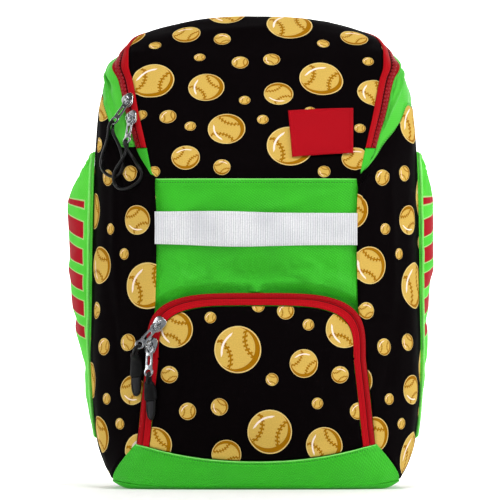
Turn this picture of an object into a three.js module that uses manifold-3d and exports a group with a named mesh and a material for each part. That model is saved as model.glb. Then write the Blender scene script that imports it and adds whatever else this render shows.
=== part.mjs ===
// A child's T-ball backpack: a soft cloth bag with a sloping zipped lid, an arched zipped front
// pocket, a bat sleeve on each side and shoulder straps behind.
//
// Millimetres. +Z is up, -Y is the front of the bag, +X is the viewer's right. The origin is the
// middle of the flat base, on the floor. Each cloth panel is a wall of its own, cut from one master
// form at its seams, so the bag is hollow and every seam shows as a fine gap.

import * as THREE from 'three';
import Module from 'manifold-3d';

const wasm = await Module();
wasm.setup();

// Overall form
const bagHeight = 420;        // floor to the top of the lid's ridge
const hemHeight = 277;        // floor to the hem of the front panel, where the lid starts
const bodyWidth = 292;        // side to side, without the bat sleeves
const bodyDepth = 160;        // front panel to back panel

// The block inside the bag that every cloth's thickness points to, as distances in from the form.
const core = { side: 90, depth: 60, bottom: 60, top: 120 };

// Cloth
const clothThickness = 2.0;   // padded polyester panels
const tapeThickness = 1.4;    // zip tape, webbing and patch
const paddingThickness = 5.0; // the back panel with its foam
const seamGap = 0.5;          // between neighbouring cloth edges
const layerGap = 0.4;         // between a piece and the cloth that it lies on

// Zips
const lidZipWidth = 15.5;
const pocketZipWidth = 11;
const coilHeight = 0.9;       // how far the coil stands over its tape

// Front pocket and boot
const pocketHeight = 173;     // floor to the top of the pocket's zip
const pocketShoulder = 115;   // floor to where the pocket's round corners start
const pocketBulge = 22;
const archPower = 2.8;        // how square the pocket's round corners are
const pocketLip = 5;          // how far the inner edge of the zip stands forward
const bootHeight = 25;        // the boot's lowest point, in the middle
const bootSide = 40;          // the boot's top edge at the front seams
const bootBulge = 2.5;

// Bat sleeves
const sleeveTop = 292;
const sleeveBottom = 44;
const sleeveBulgeLeft = 22;
const sleeveBulgeRight = 12.5;

// Webbing across the front, and the bare patch on the lid
const bandWidth = 28.5;
const bandMiddle = 229.5;     // floor to the middle of the webbing
const bandSlack = 2;
const frontBow = 2;           // how far the front panel stands forward in its middle
const frontTuck = 14;         // how far its sides draw in behind the boot
const patchWidth = 56;
const patchLength = 50;
const patchAcross = 58;       // middle of the bag to the middle of the patch
const patchAlong = 0.27;      // share of the lid's length, from its hem

// Back
const backCrown = 3;          // how far the padded back stands out in its middle
const strapWidth = 50;
const strapThickness = 8;
const strapDrop = 58;         // from the bag's height down to the straps' sewn ends
const strapTop = bagHeight - strapDrop;
const strapSpacing = 84;      // between the middles of the two straps at the top
const webbingWidth = 25;
const buckleLength = 26;
const buckleThickness = 4;
const buckleSlot = 3.4;
const haulWidth = 18;
const haulLength = 92;        // between its sewn ends
const haulBow = 24;
const haulDrop = 36;          // from the bag's height down to the middle of the haul loop
const haulHeight = bagHeight - haulDrop;
const haulSteps = 14;

// Zip hardware
const sliderWidth = 9;
const sliderLength = 12;
const sliderThickness = 2.4;
const bridgeRise = 2.8;       // clear height under the slider's bridge
const bridgeBar = 1.4;
const bridgePost = 3.6;       // from the slider's middle to each post of the bridge
const pullLength = 20;        // between its two holes
const pullThickness = 1.3;
const pullRing = 4;
const pullHole = 2.3;
const pullTilt = 6;           // degrees that a pull stands off the cloth
const cordDiameter = 3.0;

const halfWidth = bodyWidth / 2;
const halfDepth = bodyDepth / 2;
const lidRise = bagHeight - hemHeight;

// Share of a side section's length, from the front seam, at which the body turns its front corner.
const cornerShare = 0.45;
const cornerRound = 0.12;

// Sections of the side wall below the hem. level is a share of hemHeight, x columns are shares of
// halfWidth and y columns shares of halfDepth: the front seam, the front corner and the back seam.
const lowerSections = [
  { level: 0.0, seamX: 0.753, seamY: -1.05, cornerX: 0.849, cornerY: -0.6, backX: 0.767, backY: 0.875 },
  { level: 0.033, seamX: 0.781, seamY: -1.1, cornerX: 0.877, cornerY: -0.6, backX: 0.815, backY: 0.95 },
  { level: 0.072, seamX: 0.753, seamY: -1.075, cornerX: 0.921, cornerY: -0.55, backX: 0.842, backY: 0.988 },
  { level: 0.144, seamX: 0.726, seamY: -1.038, cornerX: 0.966, cornerY: -0.488, backX: 0.87, backY: 1.0 },
  { level: 0.28, seamX: 0.699, seamY: -1.0, cornerX: 1.0, cornerY: -0.425, backX: 0.884, backY: 1.0 },
  { level: 0.44, seamX: 0.664, seamY: -0.975, cornerX: 1.014, cornerY: -0.388, backX: 0.89, backY: 1.0 },
  { level: 0.6, seamX: 0.623, seamY: -0.963, cornerX: 1.007, cornerY: -0.363, backX: 0.89, backY: 1.0 },
  { level: 0.84, seamX: 0.616, seamY: -0.95, cornerX: 1.0, cornerY: -0.325, backX: 0.89, backY: 1.0 },
  { level: 1.0, seamX: 0.63, seamY: -0.925, cornerX: 0.993, cornerY: -0.25, backX: 0.884, backY: 1.0 },
];

// Sections above the hem. rise columns are shares of the height from the hem to the ridge. The lid's
// edge, the direction across its zip and the share of the zip's width, then the yoke's corner and back
// seam. tip draws the yoke's end in to the zip.
const upperSections = [
  { level: 1.0, edgeX: 0.63, edgeY: -0.925, edgeRise: 0.0, overX: 0.64, overY: 0.77, overZ: 0, zip: 0.12,
    cornerX: 0.993, cornerY: -0.25, cornerRise: 0.0, backX: 0.884, backY: 1.0, backRise: 0.0, tip: 0 },
  { level: 1.17, edgeX: 0.664, edgeY: -0.713, edgeRise: 0.168, overX: 0.64, overY: 0.77, overZ: 0, zip: 0.95,
    cornerX: 0.986, cornerY: -0.1, cornerRise: 0.175, backX: 0.877, backY: 1.0, backRise: 0.161, tip: 0 },
  { level: 1.38, edgeX: 0.712, edgeY: -0.4, edgeRise: 0.385, overX: 0.76, overY: 0.65, overZ: 0, zip: 1,
    cornerX: 0.969, cornerY: 0.1, cornerRise: 0.392, backX: 0.863, backY: 1.0, backRise: 0.357, tip: 0 },
  { level: 1.58, edgeX: 0.743, edgeY: -0.088, edgeRise: 0.587, overX: 0.82, overY: 0.57, overZ: 0, zip: 1,
    cornerX: 0.925, cornerY: 0.35, cornerRise: 0.566, backX: 0.836, backY: 1.013, backRise: 0.51, tip: 0 },
  { level: 1.66, edgeX: 0.757, edgeY: 0.075, edgeRise: 0.678, overX: 0.87, overY: 0.48, overZ: -0.06, zip: 1,
    cornerX: 0.89, cornerY: 0.55, cornerRise: 0.636, backX: 0.808, backY: 1.013, backRise: 0.594, tip: 0 },
  { level: 1.75, edgeX: 0.76, edgeY: 0.275, edgeRise: 0.776, overX: 0.6, overY: 0.72, overZ: -0.36, zip: 1,
    cornerX: 0.829, cornerY: 0.725, cornerRise: 0.706, backX: 0.774, backY: 1.025, backRise: 0.664, tip: 0 },
  { level: 1.83, edgeX: 0.733, edgeY: 0.5, edgeRise: 0.853, overX: 0.41, overY: 0.71, overZ: -0.59, zip: 1,
    cornerX: 0.774, cornerY: 0.85, cornerRise: 0.762, backX: 0.733, backY: 1.025, backRise: 0.727, tip: 0.05 },
  { level: 1.92, edgeX: 0.671, edgeY: 0.688, edgeRise: 0.895, overX: 0.37, overY: 0.69, overZ: -0.62, zip: 1,
    cornerX: 0.712, cornerY: 0.938, cornerRise: 0.797, backX: 0.685, backY: 1.013, backRise: 0.776, tip: 0.35 },
  { level: 2.0, edgeX: 0.575, edgeY: 0.825, edgeRise: 0.916, overX: 0.5, overY: 0.62, overZ: -0.58, zip: 1,
    cornerX: 0.634, cornerY: 0.963, cornerRise: 0.846, backX: 0.637, backY: 0.988, backRise: 0.839, tip: 1 },
];

// The lid down its middle, from the hem over the ridge to the rear zip.
const lidMiddle = [
  { level: 1.0, y: -0.955, rise: 0.0 },
  { level: 1.17, y: -0.75, rise: 0.182 },
  { level: 1.38, y: -0.463, rise: 0.413 },
  { level: 1.58, y: -0.125, rise: 0.629 },
  { level: 1.66, y: 0.013, rise: 0.713 },
  { level: 1.75, y: 0.213, rise: 0.811 },
  { level: 1.83, y: 0.45, rise: 0.923 },
  { level: 1.92, y: 0.688, rise: 1.0 },
  { level: 2.0, y: 0.9, rise: 0.983 },
];

// Where the printed side panel stops, at the bottom and under the yoke, as levels against the share
// of the section's length from the front seam.
const sideLimits = [
  { along: 0.0, low: 0.144, high: 1.0 },
  { along: 0.05, low: 0.122, high: 1.13 },
  { along: 0.14, low: 0.083, high: 1.21 },
  { along: 0.25, low: 0.044, high: 1.34 },
  { along: 0.32, low: 0.028, high: 1.4 },
  { along: 0.42, low: 0.023, high: 1.46 },
  { along: 0.7, low: 0.022, high: 1.52 },
  { along: 1.0, low: 0.022, high: 1.54 },
];
const bootCorner = 0.32;      // the share of the side section where boot, base and side panel meet

// Steps of the cloth grids. Panels that share a seam share its steps.
const bootSteps = 4;          // up the boot, and along the side panel to the boot's corner
const baseSteps = 7;          // from there to the back
const lidRows = 12;
const garageRows = 2;         // the lid's first rows, beside the zip garages
const lidSteps = 14;
const archSteps = 18;
const zipSideSteps = 6;

// How full each bat sleeve is from bottom to rim, as shares of its height and of its bulge.
const sleeveFullness = [
  { up: 0.0, left: 0.03, right: 0.03 },
  { up: 0.12, left: 0.22, right: 0.1 },
  { up: 0.27, left: 0.3, right: 0.4 },
  { up: 0.4, left: 0.68, right: 0.58 },
  { up: 0.52, left: 0.86, right: 0.7 },
  { up: 0.65, left: 0.96, right: 0.95 },
  { up: 0.85, left: 1.0, right: 1.0 },
  { up: 0.93, left: 0.78, right: 0.78 },
  { up: 1.0, left: 0.42, right: 0.56 },
];
const sleeveFront = 0.5;      // shares of the side section where the sleeve's two edges are sewn
const sleeveBack = 0.93;

// The middle line of the right shoulder strap: shares of the half spacing, reach behind the back, and
// heights as shares of strapTop.
const strapRoute = [
  { x: 1.0, reach: 0.04, up: 0.985 },
  { x: 1.03, reach: 0.36, up: 1.01 },
  { x: 1.12, reach: 0.78, up: 0.955 },
  { x: 1.35, reach: 1.0, up: 0.8 },
  { x: 1.72, reach: 0.94, up: 0.62 },
  { x: 2.05, reach: 0.74, up: 0.48 },
  { x: 2.24, reach: 0.55, up: 0.38 },
];
const strapReach = 50;
const anchorHeight = 34;
const ankleRise = 24;         // from a webbing's anchor up to where it leaves the back
const anchorSpacing = 212;

const colours = {
  print: 0x161216, green: 0x35c81e, red: 0xbe0d22, white: 0xe9e9ec,
  black: 0x18181a, metal: 0xb9bcc0, buckle: 0x1c1c1e,
};

/** A smooth curve through one column of a table, without overshoot between its rows. */
function track(rows, key, column) {
  const at = rows.map((row) => row[key]);
  const value = rows.map((row) => row[column]);
  const slope = at.slice(1).map((x, i) => (value[i + 1] - value[i]) / (x - at[i]));
  const tangent = value.map((_, i) => {
    if (i === 0) return slope[0];
    if (i === value.length - 1) return slope[i - 1];
    return slope[i - 1] * slope[i] <= 0 ? 0 : (2 * slope[i - 1] * slope[i]) / (slope[i - 1] + slope[i]);
  });
  return (x) => {
    const clamped = Math.min(Math.max(x, at[0]), at[at.length - 1]);
    let i = 0;
    while (i < at.length - 2 && clamped > at[i + 1]) i += 1;
    const step = at[i + 1] - at[i];
    const t = (clamped - at[i]) / step;
    const t2 = t * t;
    const t3 = t2 * t;
    return (2 * t3 - 3 * t2 + 1) * value[i] + (t3 - 2 * t2 + t) * step * tangent[i]
      + (3 * t2 - 2 * t3) * value[i + 1] + (t3 - t2) * step * tangent[i + 1];
  };
}

/** Every column of a table as a smooth curve against its key column. */
function tracks(rows, key) {
  const columns = Object.keys(rows[0]).filter((name) => name !== key);
  return Object.fromEntries(columns.map((name) => [name, track(rows, key, name)]));
}

const lower = tracks(lowerSections, 'level');
const upper = tracks(upperSections, 'level');
const middle = tracks(lidMiddle, 'level');
const limit = tracks(sideLimits, 'along');
const fullness = tracks(sleeveFullness, 'up');

const point = (x, y, z) => new THREE.Vector3(x, y, z);
const mix = (a, b, t) => a.clone().lerp(b, t);
const smooth = (t) => { const c = Math.min(Math.max(t, 0), 1); return c * c * (3 - 2 * c); };
const clampTo = (value, low, high) => Math.min(Math.max(value, low), high);
const mirrored = (p) => point(-p.x, p.y, p.z);
const mirroredTo = (side, p) => point(side * p.x, p.y, p.z);

/** The right edge of the lid. */
function lidEdge(level) {
  return point(upper.edgeX(level) * halfWidth, upper.edgeY(level) * halfDepth,
    hemHeight + upper.edgeRise(level) * lidRise);
}

/** The direction across the right run of the lid's zip, away from the lid. */
function acrossZip(level) {
  return point(upper.overX(level), upper.overY(level), upper.overZ(level)).normalize();
}

/** The outer edge of the right run of the lid's zip. */
function zipOuter(level) {
  return lidEdge(level).addScaledVector(acrossZip(level), lidZipWidth * upper.zip(level));
}

/** Front seam, front corner and back seam of the right side wall at a level. */
function sectionAt(level) {
  if (level <= 1) {
    const z = level * hemHeight;
    return {
      seam: point(lower.seamX(level) * halfWidth, lower.seamY(level) * halfDepth, z),
      corner: point(lower.cornerX(level) * halfWidth, lower.cornerY(level) * halfDepth, z),
      back: point(lower.backX(level) * halfWidth, lower.backY(level) * halfDepth, z),
    };
  }
  const seam = zipOuter(level);
  const corner = point(upper.cornerX(level) * halfWidth, upper.cornerY(level) * halfDepth,
    hemHeight + upper.cornerRise(level) * lidRise);
  const back = point(upper.backX(level) * halfWidth, upper.backY(level) * halfDepth,
    hemHeight + upper.backRise(level) * lidRise);
  const tip = upper.tip(level);
  return {
    seam,
    corner: mix(corner, seam.clone().add(point(0.8, 1.6, -1.0)), tip),
    back: mix(back, seam.clone().add(point(1.4, 3.6, -2.2)), tip),
  };
}

/** A point of the right side wall: along runs from the front seam round the corner to the back seam. */
function sideWall(along, level) {
  const { seam, corner, back } = sectionAt(level);
  const straight = (t) => (t < cornerShare
    ? mix(seam, corner, t / cornerShare)
    : mix(corner, back, (t - cornerShare) / (1 - cornerShare)));
  const from = cornerShare - cornerRound;
  const to = cornerShare + cornerRound;
  let p = straight(along);
  if (along > from && along < to) {
    const t = (along - from) / (to - from);
    p = mix(mix(straight(from), corner, t), mix(corner, straight(to), t), t);
  }
  const fill = 1 - smooth((level - 1.5) / 0.4);
  const column = Math.sin(Math.PI * clampTo(along / cornerShare, 0, 1));
  const flank = Math.sin(Math.PI * clampTo((along - cornerShare) / (1 - cornerShare), 0, 1));
  const outward = point(corner.y - seam.y, seam.x - corner.x, 0).normalize();
  p.addScaledVector(outward, 4 * column * fill);
  p.x += 3 * flank * fill;
  return p;
}

/** A point of the lid: across runs from its left edge to its right, level from the hem to the rear zip. */
function lidSurface(across, level) {
  const edge = lidEdge(level);
  const hump = 1 - Math.abs(across) ** 2.4;
  return point(across * edge.x, edge.y + (middle.y(level) * halfDepth - edge.y) * hump,
    edge.z + (hemHeight + middle.rise(level) * lidRise - edge.z) * hump);
}

/** The outer edge of the lid zip's rear run. */
function rearZipOuter(across) {
  const side = acrossZip(2);
  const way = point(0, 0.72, -0.69).lerp(point(side.x * Math.sign(across), side.y, side.z), Math.abs(across));
  return lidSurface(across, 2).addScaledVector(way.normalize(), lidZipWidth);
}

/** A point of the back panel's plain form at a level, before its top is drawn to the rear zip. */
function backForm(across, level) {
  const { back } = sectionAt(level);
  const reach = Math.abs(across);
  const share = level <= 1 ? lower.backY(level) : upper.backY(level);
  const crown = share * halfDepth + backCrown * Math.sin(Math.PI * clampTo(level / 2 + 0.08, 0, 1));
  const lift = (rearZipOuter(0).z - sectionAt(2).back.z) * smooth((level - 1.3) / 0.7);
  return point(across * back.x, back.y + (crown - back.y) * (1 - reach ** 4),
    back.z + lift * (1 - reach ** 2.2));
}

/** A point of the back panel: across from left to right, up from its bottom seam to the rear zip. */
function backSurface(across, up) {
  const level = limit.low(1) + (2 - limit.low(1)) * up;
  const side = Math.sign(across) || 1;
  const overlap = mirroredTo(side, sectionAt(2).back).sub(rearZipOuter(side));
  const top = rearZipOuter(across).addScaledVector(overlap, Math.abs(across) ** 8);
  return backForm(across, level).addScaledVector(top.sub(backForm(across, 2)), smooth((level - 1.65) / 0.35));
}

/** Half the front panel's width at a height. */
const seamReach = (z) => lower.seamX(clampTo(z, bootSide, hemHeight) / hemHeight) * halfWidth;

/** The y of the front panel's cloth at a place on it. */
function frontPlane(x, z) {
  const share = Math.min(Math.abs(x) / seamReach(z), 1);
  return lower.seamY(clampTo(z, bootSide, hemHeight) / hemHeight) * halfDepth - frontBow * (1 - share * share);
}

/** A point of the front panel. Behind the boot it draws in and back. */
function frontSurface(across, up) {
  const bottom = clothThickness + 4 * layerGap;
  const z = bottom + (hemHeight - bottom) * up;
  const tuck = 1 - smooth((z - bootSide) / frontTuck);
  const x = across * (seamReach(z) - frontTuck * tuck);
  return point(x, frontPlane(x, z) + 11 * tuck, z);
}

const pocketClear = tapeThickness + layerGap;

/** Half the pocket's width at a height, at inset from the outer edge of its zip. */
const pocketReach = (z, inset) => seamReach(Math.min(z, pocketShoulder)) - 1 - inset;

/** The height of the boot's top edge against the share of the front's half width. */
const bootEdge = (share) => bootHeight + (bootSide - bootHeight) * Math.abs(share) ** 2.2;

/** Height of the pocket's arch against the share of its half width. */
function archTop(across, inset) {
  const rise = pocketHeight - inset - pocketShoulder;
  return pocketShoulder + rise * Math.max(0, 1 - Math.abs(across) ** archPower) ** (1 / archPower);
}

/** Shares across the arch, spaced evenly round its curve. */
function roundArch(t) {
  const turn = Math.cos(Math.PI * t);
  return 0.5 - 0.5 * Math.sign(turn) * Math.abs(turn) ** (2 / archPower);
}

/** A point of the pocket's cloth face, inside its zip. */
function pocketSurface(across, up) {
  const low = bootEdge(across * 0.91);
  const z = low + (archTop(across, pocketZipWidth) - low) * up;
  const x = across * pocketReach(z, pocketZipWidth);
  const full = (1 - Math.abs(across) ** 3.2) * (up < 0.4
    ? 0.42 + 0.58 * Math.sin((Math.PI / 2) * (up / 0.4))
    : Math.cos((Math.PI / 2) * ((up - 0.4) / 0.6)) ** 0.8);
  return point(x, frontPlane(x, z) - pocketClear - pocketLip - pocketBulge * full, z);
}

/** A point of the pocket's zip: along the arch from left to right, across from its outer to its inner edge. */
function pocketZipSurface(along, across) {
  const inset = across * pocketZipWidth;
  const side = zipSideSteps / (2 * zipSideSteps + archSteps);
  const sign = along < 0.5 ? -1 : 1;
  const fromEnd = Math.min(along, 1 - along);
  let x;
  let z;
  if (fromEnd < side) {
    const low = bootEdge(1 - 0.09 * across);
    z = low + (pocketShoulder - low) * (fromEnd / side);
    x = sign * pocketReach(z, inset);
  } else {
    const turn = ((along - side) / (1 - 2 * side)) * Math.PI;
    const power = 2 / archPower;
    x = -Math.sign(Math.cos(turn)) * Math.abs(Math.cos(turn)) ** power * pocketReach(pocketShoulder, inset);
    z = pocketShoulder + Math.abs(Math.sin(turn)) ** power * (pocketHeight - inset - pocketShoulder);
  }
  const coil = coilHeight * Math.sin(Math.PI * across) ** 4;
  return point(x, frontPlane(x, z) - pocketClear - pocketLip * across - coil, z);
}

/** The seam that the boot and base share with the right side panel, from the front seam to the back. */
const lowSeam = (along) => sideWall(along, limit.low(along));

/** The seam between the boot and the base, across the front of the floor. */
function toeSeam(across) {
  const end = lowSeam(bootCorner);
  const reach = Math.abs(across);
  const toe = frontPlane(halfWidth, 0) - pocketLip - 3;
  return point(across * end.x, end.y + (toe - end.y) * (1 - reach ** 4), 2 + (end.z - 2) * reach ** 6);
}

/** A point of the boot: across from left to right, up from the toe seam to its hem. */
function bootSurface(across, up) {
  const reach = Math.abs(across);
  const pocketShare = clampTo(reach / 0.91, 0, 1);
  const face = pocketSurface(Math.sign(across) * pocketShare, 0);
  const seam = lowSeam(0);
  const outside = clampTo((reach - 0.91) / 0.09, 0, 1);
  const hem = mix(face, point(Math.sign(across) * seam.x, seam.y, bootEdge(1)), outside);
  hem.z = bootEdge(reach);
  const toe = toeSeam(across);
  const p = mix(toe, hem, up);
  const side = lowSeam(bootCorner * (1 - up));
  const chord = mix(lowSeam(bootCorner), seam, up);
  const pull = reach ** 6;
  p.x += Math.sign(across) * (side.x - chord.x) * pull;
  p.y += (side.y - chord.y) * pull - bootBulge * Math.sin(Math.PI * up) * (1 - pull);
  p.z += (side.z - chord.z) * pull;
  return p;
}

/** A point of the base: across from left to right, along from the back seam to the toe seam. */
function baseSurface(across, along) {
  const reach = Math.abs(across);
  const back = backSurface(across, 0);
  const toe = toeSeam(across);
  const side = lowSeam(1 - (1 - bootCorner) * along);
  const straight = mix(backSurface(1, 0), toeSeam(1), along);
  const p = mix(back, toe, along);
  p.x += Math.sign(across) * (side.x - straight.x) * reach;
  p.y += (side.y - straight.y) * reach ** 4;
  const roll = Math.max(
    side.z * clampTo((reach - 0.86) / 0.14, 0, 1) ** 2,
    back.z * clampTo((0.08 - along) / 0.08, 0, 1) ** 2,
    toe.z * clampTo((along - 0.92) / 0.08, 0, 1) ** 2,
  );
  p.z = roll;
  return p;
}

/** A point of a bat sleeve, side 1 on the right and -1 on the left. */
function sleeveSurface(side, along, up) {
  const bulge = side > 0 ? sleeveBulgeRight * fullness.right(up) : sleeveBulgeLeft * fullness.left(up);
  const dip = 12 * Math.sin(Math.PI * along) * smooth((up - 0.7) / 0.3);
  const z = sleeveBottom + (sleeveTop - sleeveBottom) * up - dip;
  const level = z <= hemHeight ? z / hemHeight : 1 + (z - hemHeight) / lidRise;
  const wall = sideWall(sleeveFront + (sleeveBack - sleeveFront) * along, level);
  wall.x += clothThickness + layerGap + bulge * Math.sin(Math.PI * along) ** 0.65;
  return side > 0 ? wall : mirrored(wall);
}

/** Which way the cloth's thickness goes at a point: towards a block inside the bag. */
function inward(p) {
  return point(
    clampTo(p.x, core.side - halfWidth, halfWidth - core.side),
    clampTo(p.y, core.depth - halfDepth, halfDepth - core.depth),
    clampTo(p.z, core.bottom, bagHeight - core.top),
  ).sub(p).normalize();
}

/** Length of a line of the surface through one value of its other parameter. */
function lineLength(at) {
  const steps = 12;
  let total = 0;
  for (let i = 0; i < steps; i += 1) total += at(i / steps).distanceTo(at((i + 1) / steps));
  return total;
}

/** A closed geometry from an outer and an inner grid of points, with a rim round them. */
function closeGrids(outer, inner) {
  const rows = outer.length;
  const cols = outer[0].length;
  const position = [];
  [outer, inner].forEach((grid) => grid.forEach((row) => row.forEach((p) => position.push(p.x, p.y, p.z))));
  const id = (layer, r, c) => layer * rows * cols + r * cols + c;
  const index = [];
  const quad = (a, b, c, d) => index.push(a, b, c, a, c, d);
  for (let r = 0; r < rows - 1; r += 1) {
    for (let c = 0; c < cols - 1; c += 1) {
      quad(id(0, r, c), id(0, r, c + 1), id(0, r + 1, c + 1), id(0, r + 1, c));
      quad(id(1, r, c), id(1, r + 1, c), id(1, r + 1, c + 1), id(1, r, c + 1));
    }
  }
  for (let c = 0; c < cols - 1; c += 1) {
    quad(id(0, 0, c), id(1, 0, c), id(1, 0, c + 1), id(0, 0, c + 1));
    quad(id(0, rows - 1, c), id(0, rows - 1, c + 1), id(1, rows - 1, c + 1), id(1, rows - 1, c));
  }
  for (let r = 0; r < rows - 1; r += 1) {
    quad(id(0, r, 0), id(0, r + 1, 0), id(1, r + 1, 0), id(1, r, 0));
    quad(id(0, r, cols - 1), id(1, r, cols - 1), id(1, r + 1, cols - 1), id(0, r + 1, cols - 1));
  }
  return facingOut(position, index);
}

/** A geometry whose triangles are turned, if need be, so that they enclose a positive volume. */
function facingOut(position, index) {
  const corner = (i) => point(...position.slice(3 * index[i], 3 * index[i] + 3));
  let volume = 0;
  for (let i = 0; i < index.length; i += 3) volume += corner(i).dot(corner(i + 1).cross(corner(i + 2)));
  if (volume < 0) for (let i = 0; i < index.length; i += 3) [index[i], index[i + 1]] = [index[i + 1], index[i]];
  const geometry = new THREE.BufferGeometry();
  geometry.setAttribute('position', new THREE.Float32BufferAttribute(position, 3));
  geometry.setIndex(index);
  geometry.computeVertexNormals();
  return geometry;
}

/** A cloth wall: the surface is its outer face, inset at its edges by half a seam's gap. */
function clothWall(surface, { cols, rows, thickness = clothThickness, way = inward, inset = seamGap / 2, spread,
  even = true }) {
  const outer = [];
  const inner = [];
  const eps = 0.004;
  for (let r = 0; r <= rows; r += 1) {
    const outerRow = [];
    const innerRow = [];
    for (let c = 0; c <= cols; c += 1) {
      const share = spread ? spread(c / cols) : c / cols;
      const wide = inset / lineLength((t) => surface(t, r / rows));
      const tall = inset / lineLength((t) => surface(share, t));
      const u = wide + share * (1 - 2 * wide);
      const v = tall + (r / rows) * (1 - 2 * tall);
      const p = surface(u, v);
      const du = surface(Math.min(u + eps, 1), v).sub(surface(Math.max(u - eps, 0), v));
      const dv = surface(u, Math.min(v + eps, 1)).sub(surface(u, Math.max(v - eps, 0)));
      const normal = du.cross(dv).normalize();
      const direction = way(p, normal);
      const facing = even ? Math.max(Math.abs(direction.dot(normal)), 0.55) : 1;
      outerRow.push(p);
      innerRow.push(p.clone().addScaledVector(direction, thickness / facing));
    }
    outer.push(outerRow);
    inner.push(innerRow);
  }
  return closeGrids(outer, inner);
}

/** Closer steps towards both ends, for a surface that turns fast there. */
const towardsEnds = (t) => 0.5 - 0.5 * Math.cos(Math.PI * t);
const signed = (t) => 2 * t - 1;

function named(name, geometry, colour, roughness = 0.85, metalness = 0) {
  const mesh = new THREE.Mesh(geometry, new THREE.MeshStandardMaterial({ color: colour, roughness, metalness }));
  mesh.name = name;
  return mesh;
}

const bag = new THREE.Group();

/** The share of the side section at each step: the boot's run, then the base's. */
function roundSide(t) {
  const step = t * (bootSteps + baseSteps);
  return step <= bootSteps
    ? (bootCorner * step) / bootSteps
    : bootCorner + ((1 - bootCorner) * (step - bootSteps)) / baseSteps;
}

/** A point of the lid's zip: along from the left garage round the back to the right one, across outwards. */
function lidZipSurface(along, across) {
  const sideRows = lidRows - garageRows;
  const step = along * (2 * sideRows + lidSteps);
  let inner;
  let outer;
  if (step < sideRows) {
    const level = 1 + (garageRows + step) / lidRows;
    inner = mirrored(lidEdge(level));
    outer = mirrored(zipOuter(level));
  } else if (step <= sideRows + lidSteps) {
    const side = signed((step - sideRows) / lidSteps);
    inner = lidSurface(side, 2);
    outer = rearZipOuter(side);
  } else {
    const level = 2 - (step - sideRows - lidSteps) / lidRows;
    inner = lidEdge(level);
    outer = zipOuter(level);
  }
  const p = mix(inner, outer, across);
  return p.addScaledVector(inward(p), -coilHeight * Math.sin(Math.PI * across) ** 4);
}

/** The cloth panels of the body. */
function addBody() {
  const span = (low, high, t) => low + (high - low) * t;
  const around = { cols: bootSteps + baseSteps, spread: roundSide };
  for (const [side, word] of [[1, 'right'], [-1, 'left']]) {
    const turn = (p) => (side > 0 ? p : mirrored(p));
    const panel = (u, v) => turn(sideWall(u, span(limit.low(u), limit.high(u), v)));
    bag.add(named(`side_panel_${word}`, clothWall(panel, { ...around, rows: 10 }), colours.print));
    const yoke = (u, v) => turn(sideWall(u, span(limit.high(u), 2, v)));
    bag.add(named(`yoke_${word}`, clothWall(yoke, { ...around, rows: lidRows }), colours.green));
    const sleeve = (u, v) => sleeveSurface(side, u, v);
    const sleeveWay = () => point(-side, 0, 0);
    bag.add(named(`bat_sleeve_${word}`,
      clothWall(sleeve, { cols: 8, rows: 10, spread: towardsEnds, way: sleeveWay, even: false }), colours.green));
    const garage = (u, v) => {
      const level = 1 + (v * garageRows) / lidRows;
      return turn(mix(lidEdge(level), zipOuter(level), u));
    };
    bag.add(named(`zip_garage_${word}`, clothWall(garage, { cols: 2, rows: garageRows }), colours.green));
  }
  const lid = (u, v) => lidSurface(signed(u), 1 + v);
  bag.add(named('lid_panel', clothWall(lid, { cols: lidSteps, rows: lidRows, inset: 0.6 }), colours.print));
  const zipSteps = 2 * (lidRows - garageRows) + lidSteps;
  bag.add(named('lid_zipper',
    clothWall(lidZipSurface, { cols: zipSteps, rows: 4, thickness: tapeThickness }), colours.red));
  const front = (u, v) => frontSurface(signed(u), v);
  bag.add(named('front_panel', clothWall(front, { cols: 8, rows: 10, inset: 0.8 }), colours.green));
  const back = (u, v) => backSurface(signed(u), v);
  bag.add(named('back_panel',
    clothWall(back, { cols: lidSteps, rows: 10, thickness: paddingThickness, inset: 1 }), colours.black));
  const boot = (u, v) => bootSurface(signed(u), v);
  bag.add(named('front_boot', clothWall(boot, { cols: 18, rows: bootSteps, spread: towardsEnds }), colours.green));
  const base = (u, v) => baseSurface(signed(u), v);
  bag.add(named('base_panel', clothWall(base, { cols: 12, rows: baseSteps, spread: towardsEnds }), colours.green));
}

/** The front pocket with its zip. */
function addPocket() {
  const face = (u, v) => pocketSurface(signed(u), v);
  bag.add(named('pocket_panel', clothWall(face,
    { cols: archSteps, rows: 9, spread: roundArch, inset: 0.5 }), colours.print));
  bag.add(named('pocket_zipper', clothWall(pocketZipSurface,
    { cols: 2 * zipSideSteps + archSteps, rows: 4, thickness: tapeThickness }), colours.red));
}

/** The webbing across the front, and the bare patch sewn on the lid. */
function addTrims() {
  const lift = tapeThickness + layerGap;
  const band = (u, v) => {
    const z = bandMiddle + bandWidth * (v - 0.5) + 1.2 * Math.sin(9 * u);
    const x = signed(u) * (seamReach(z) - 0.6);
    return point(x, frontPlane(x, z) - lift - bandSlack * Math.sin(Math.PI * u) ** 0.5, z);
  };
  bag.add(named('webbing_band', clothWall(band, { cols: 12, rows: 2, thickness: tapeThickness }), colours.white));
  const patch = (u, v) => {
    const level = 1 + patchAlong + (patchLength / 175) * (v - 0.5);
    const x = patchAcross + patchWidth * (u - 0.5) + 1.5 * (0.5 - v);
    const p = lidSurface(x / lidEdge(level).x, level);
    return p.addScaledVector(point(0, -0.85, 0.53), lift + 0.2);
  };
  const patchWay = () => point(0, 0.85, -0.53);
  bag.add(named('front_patch',
    clothWall(patch, { cols: 5, rows: 5, thickness: tapeThickness, way: patchWay }), colours.red));
}

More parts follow.
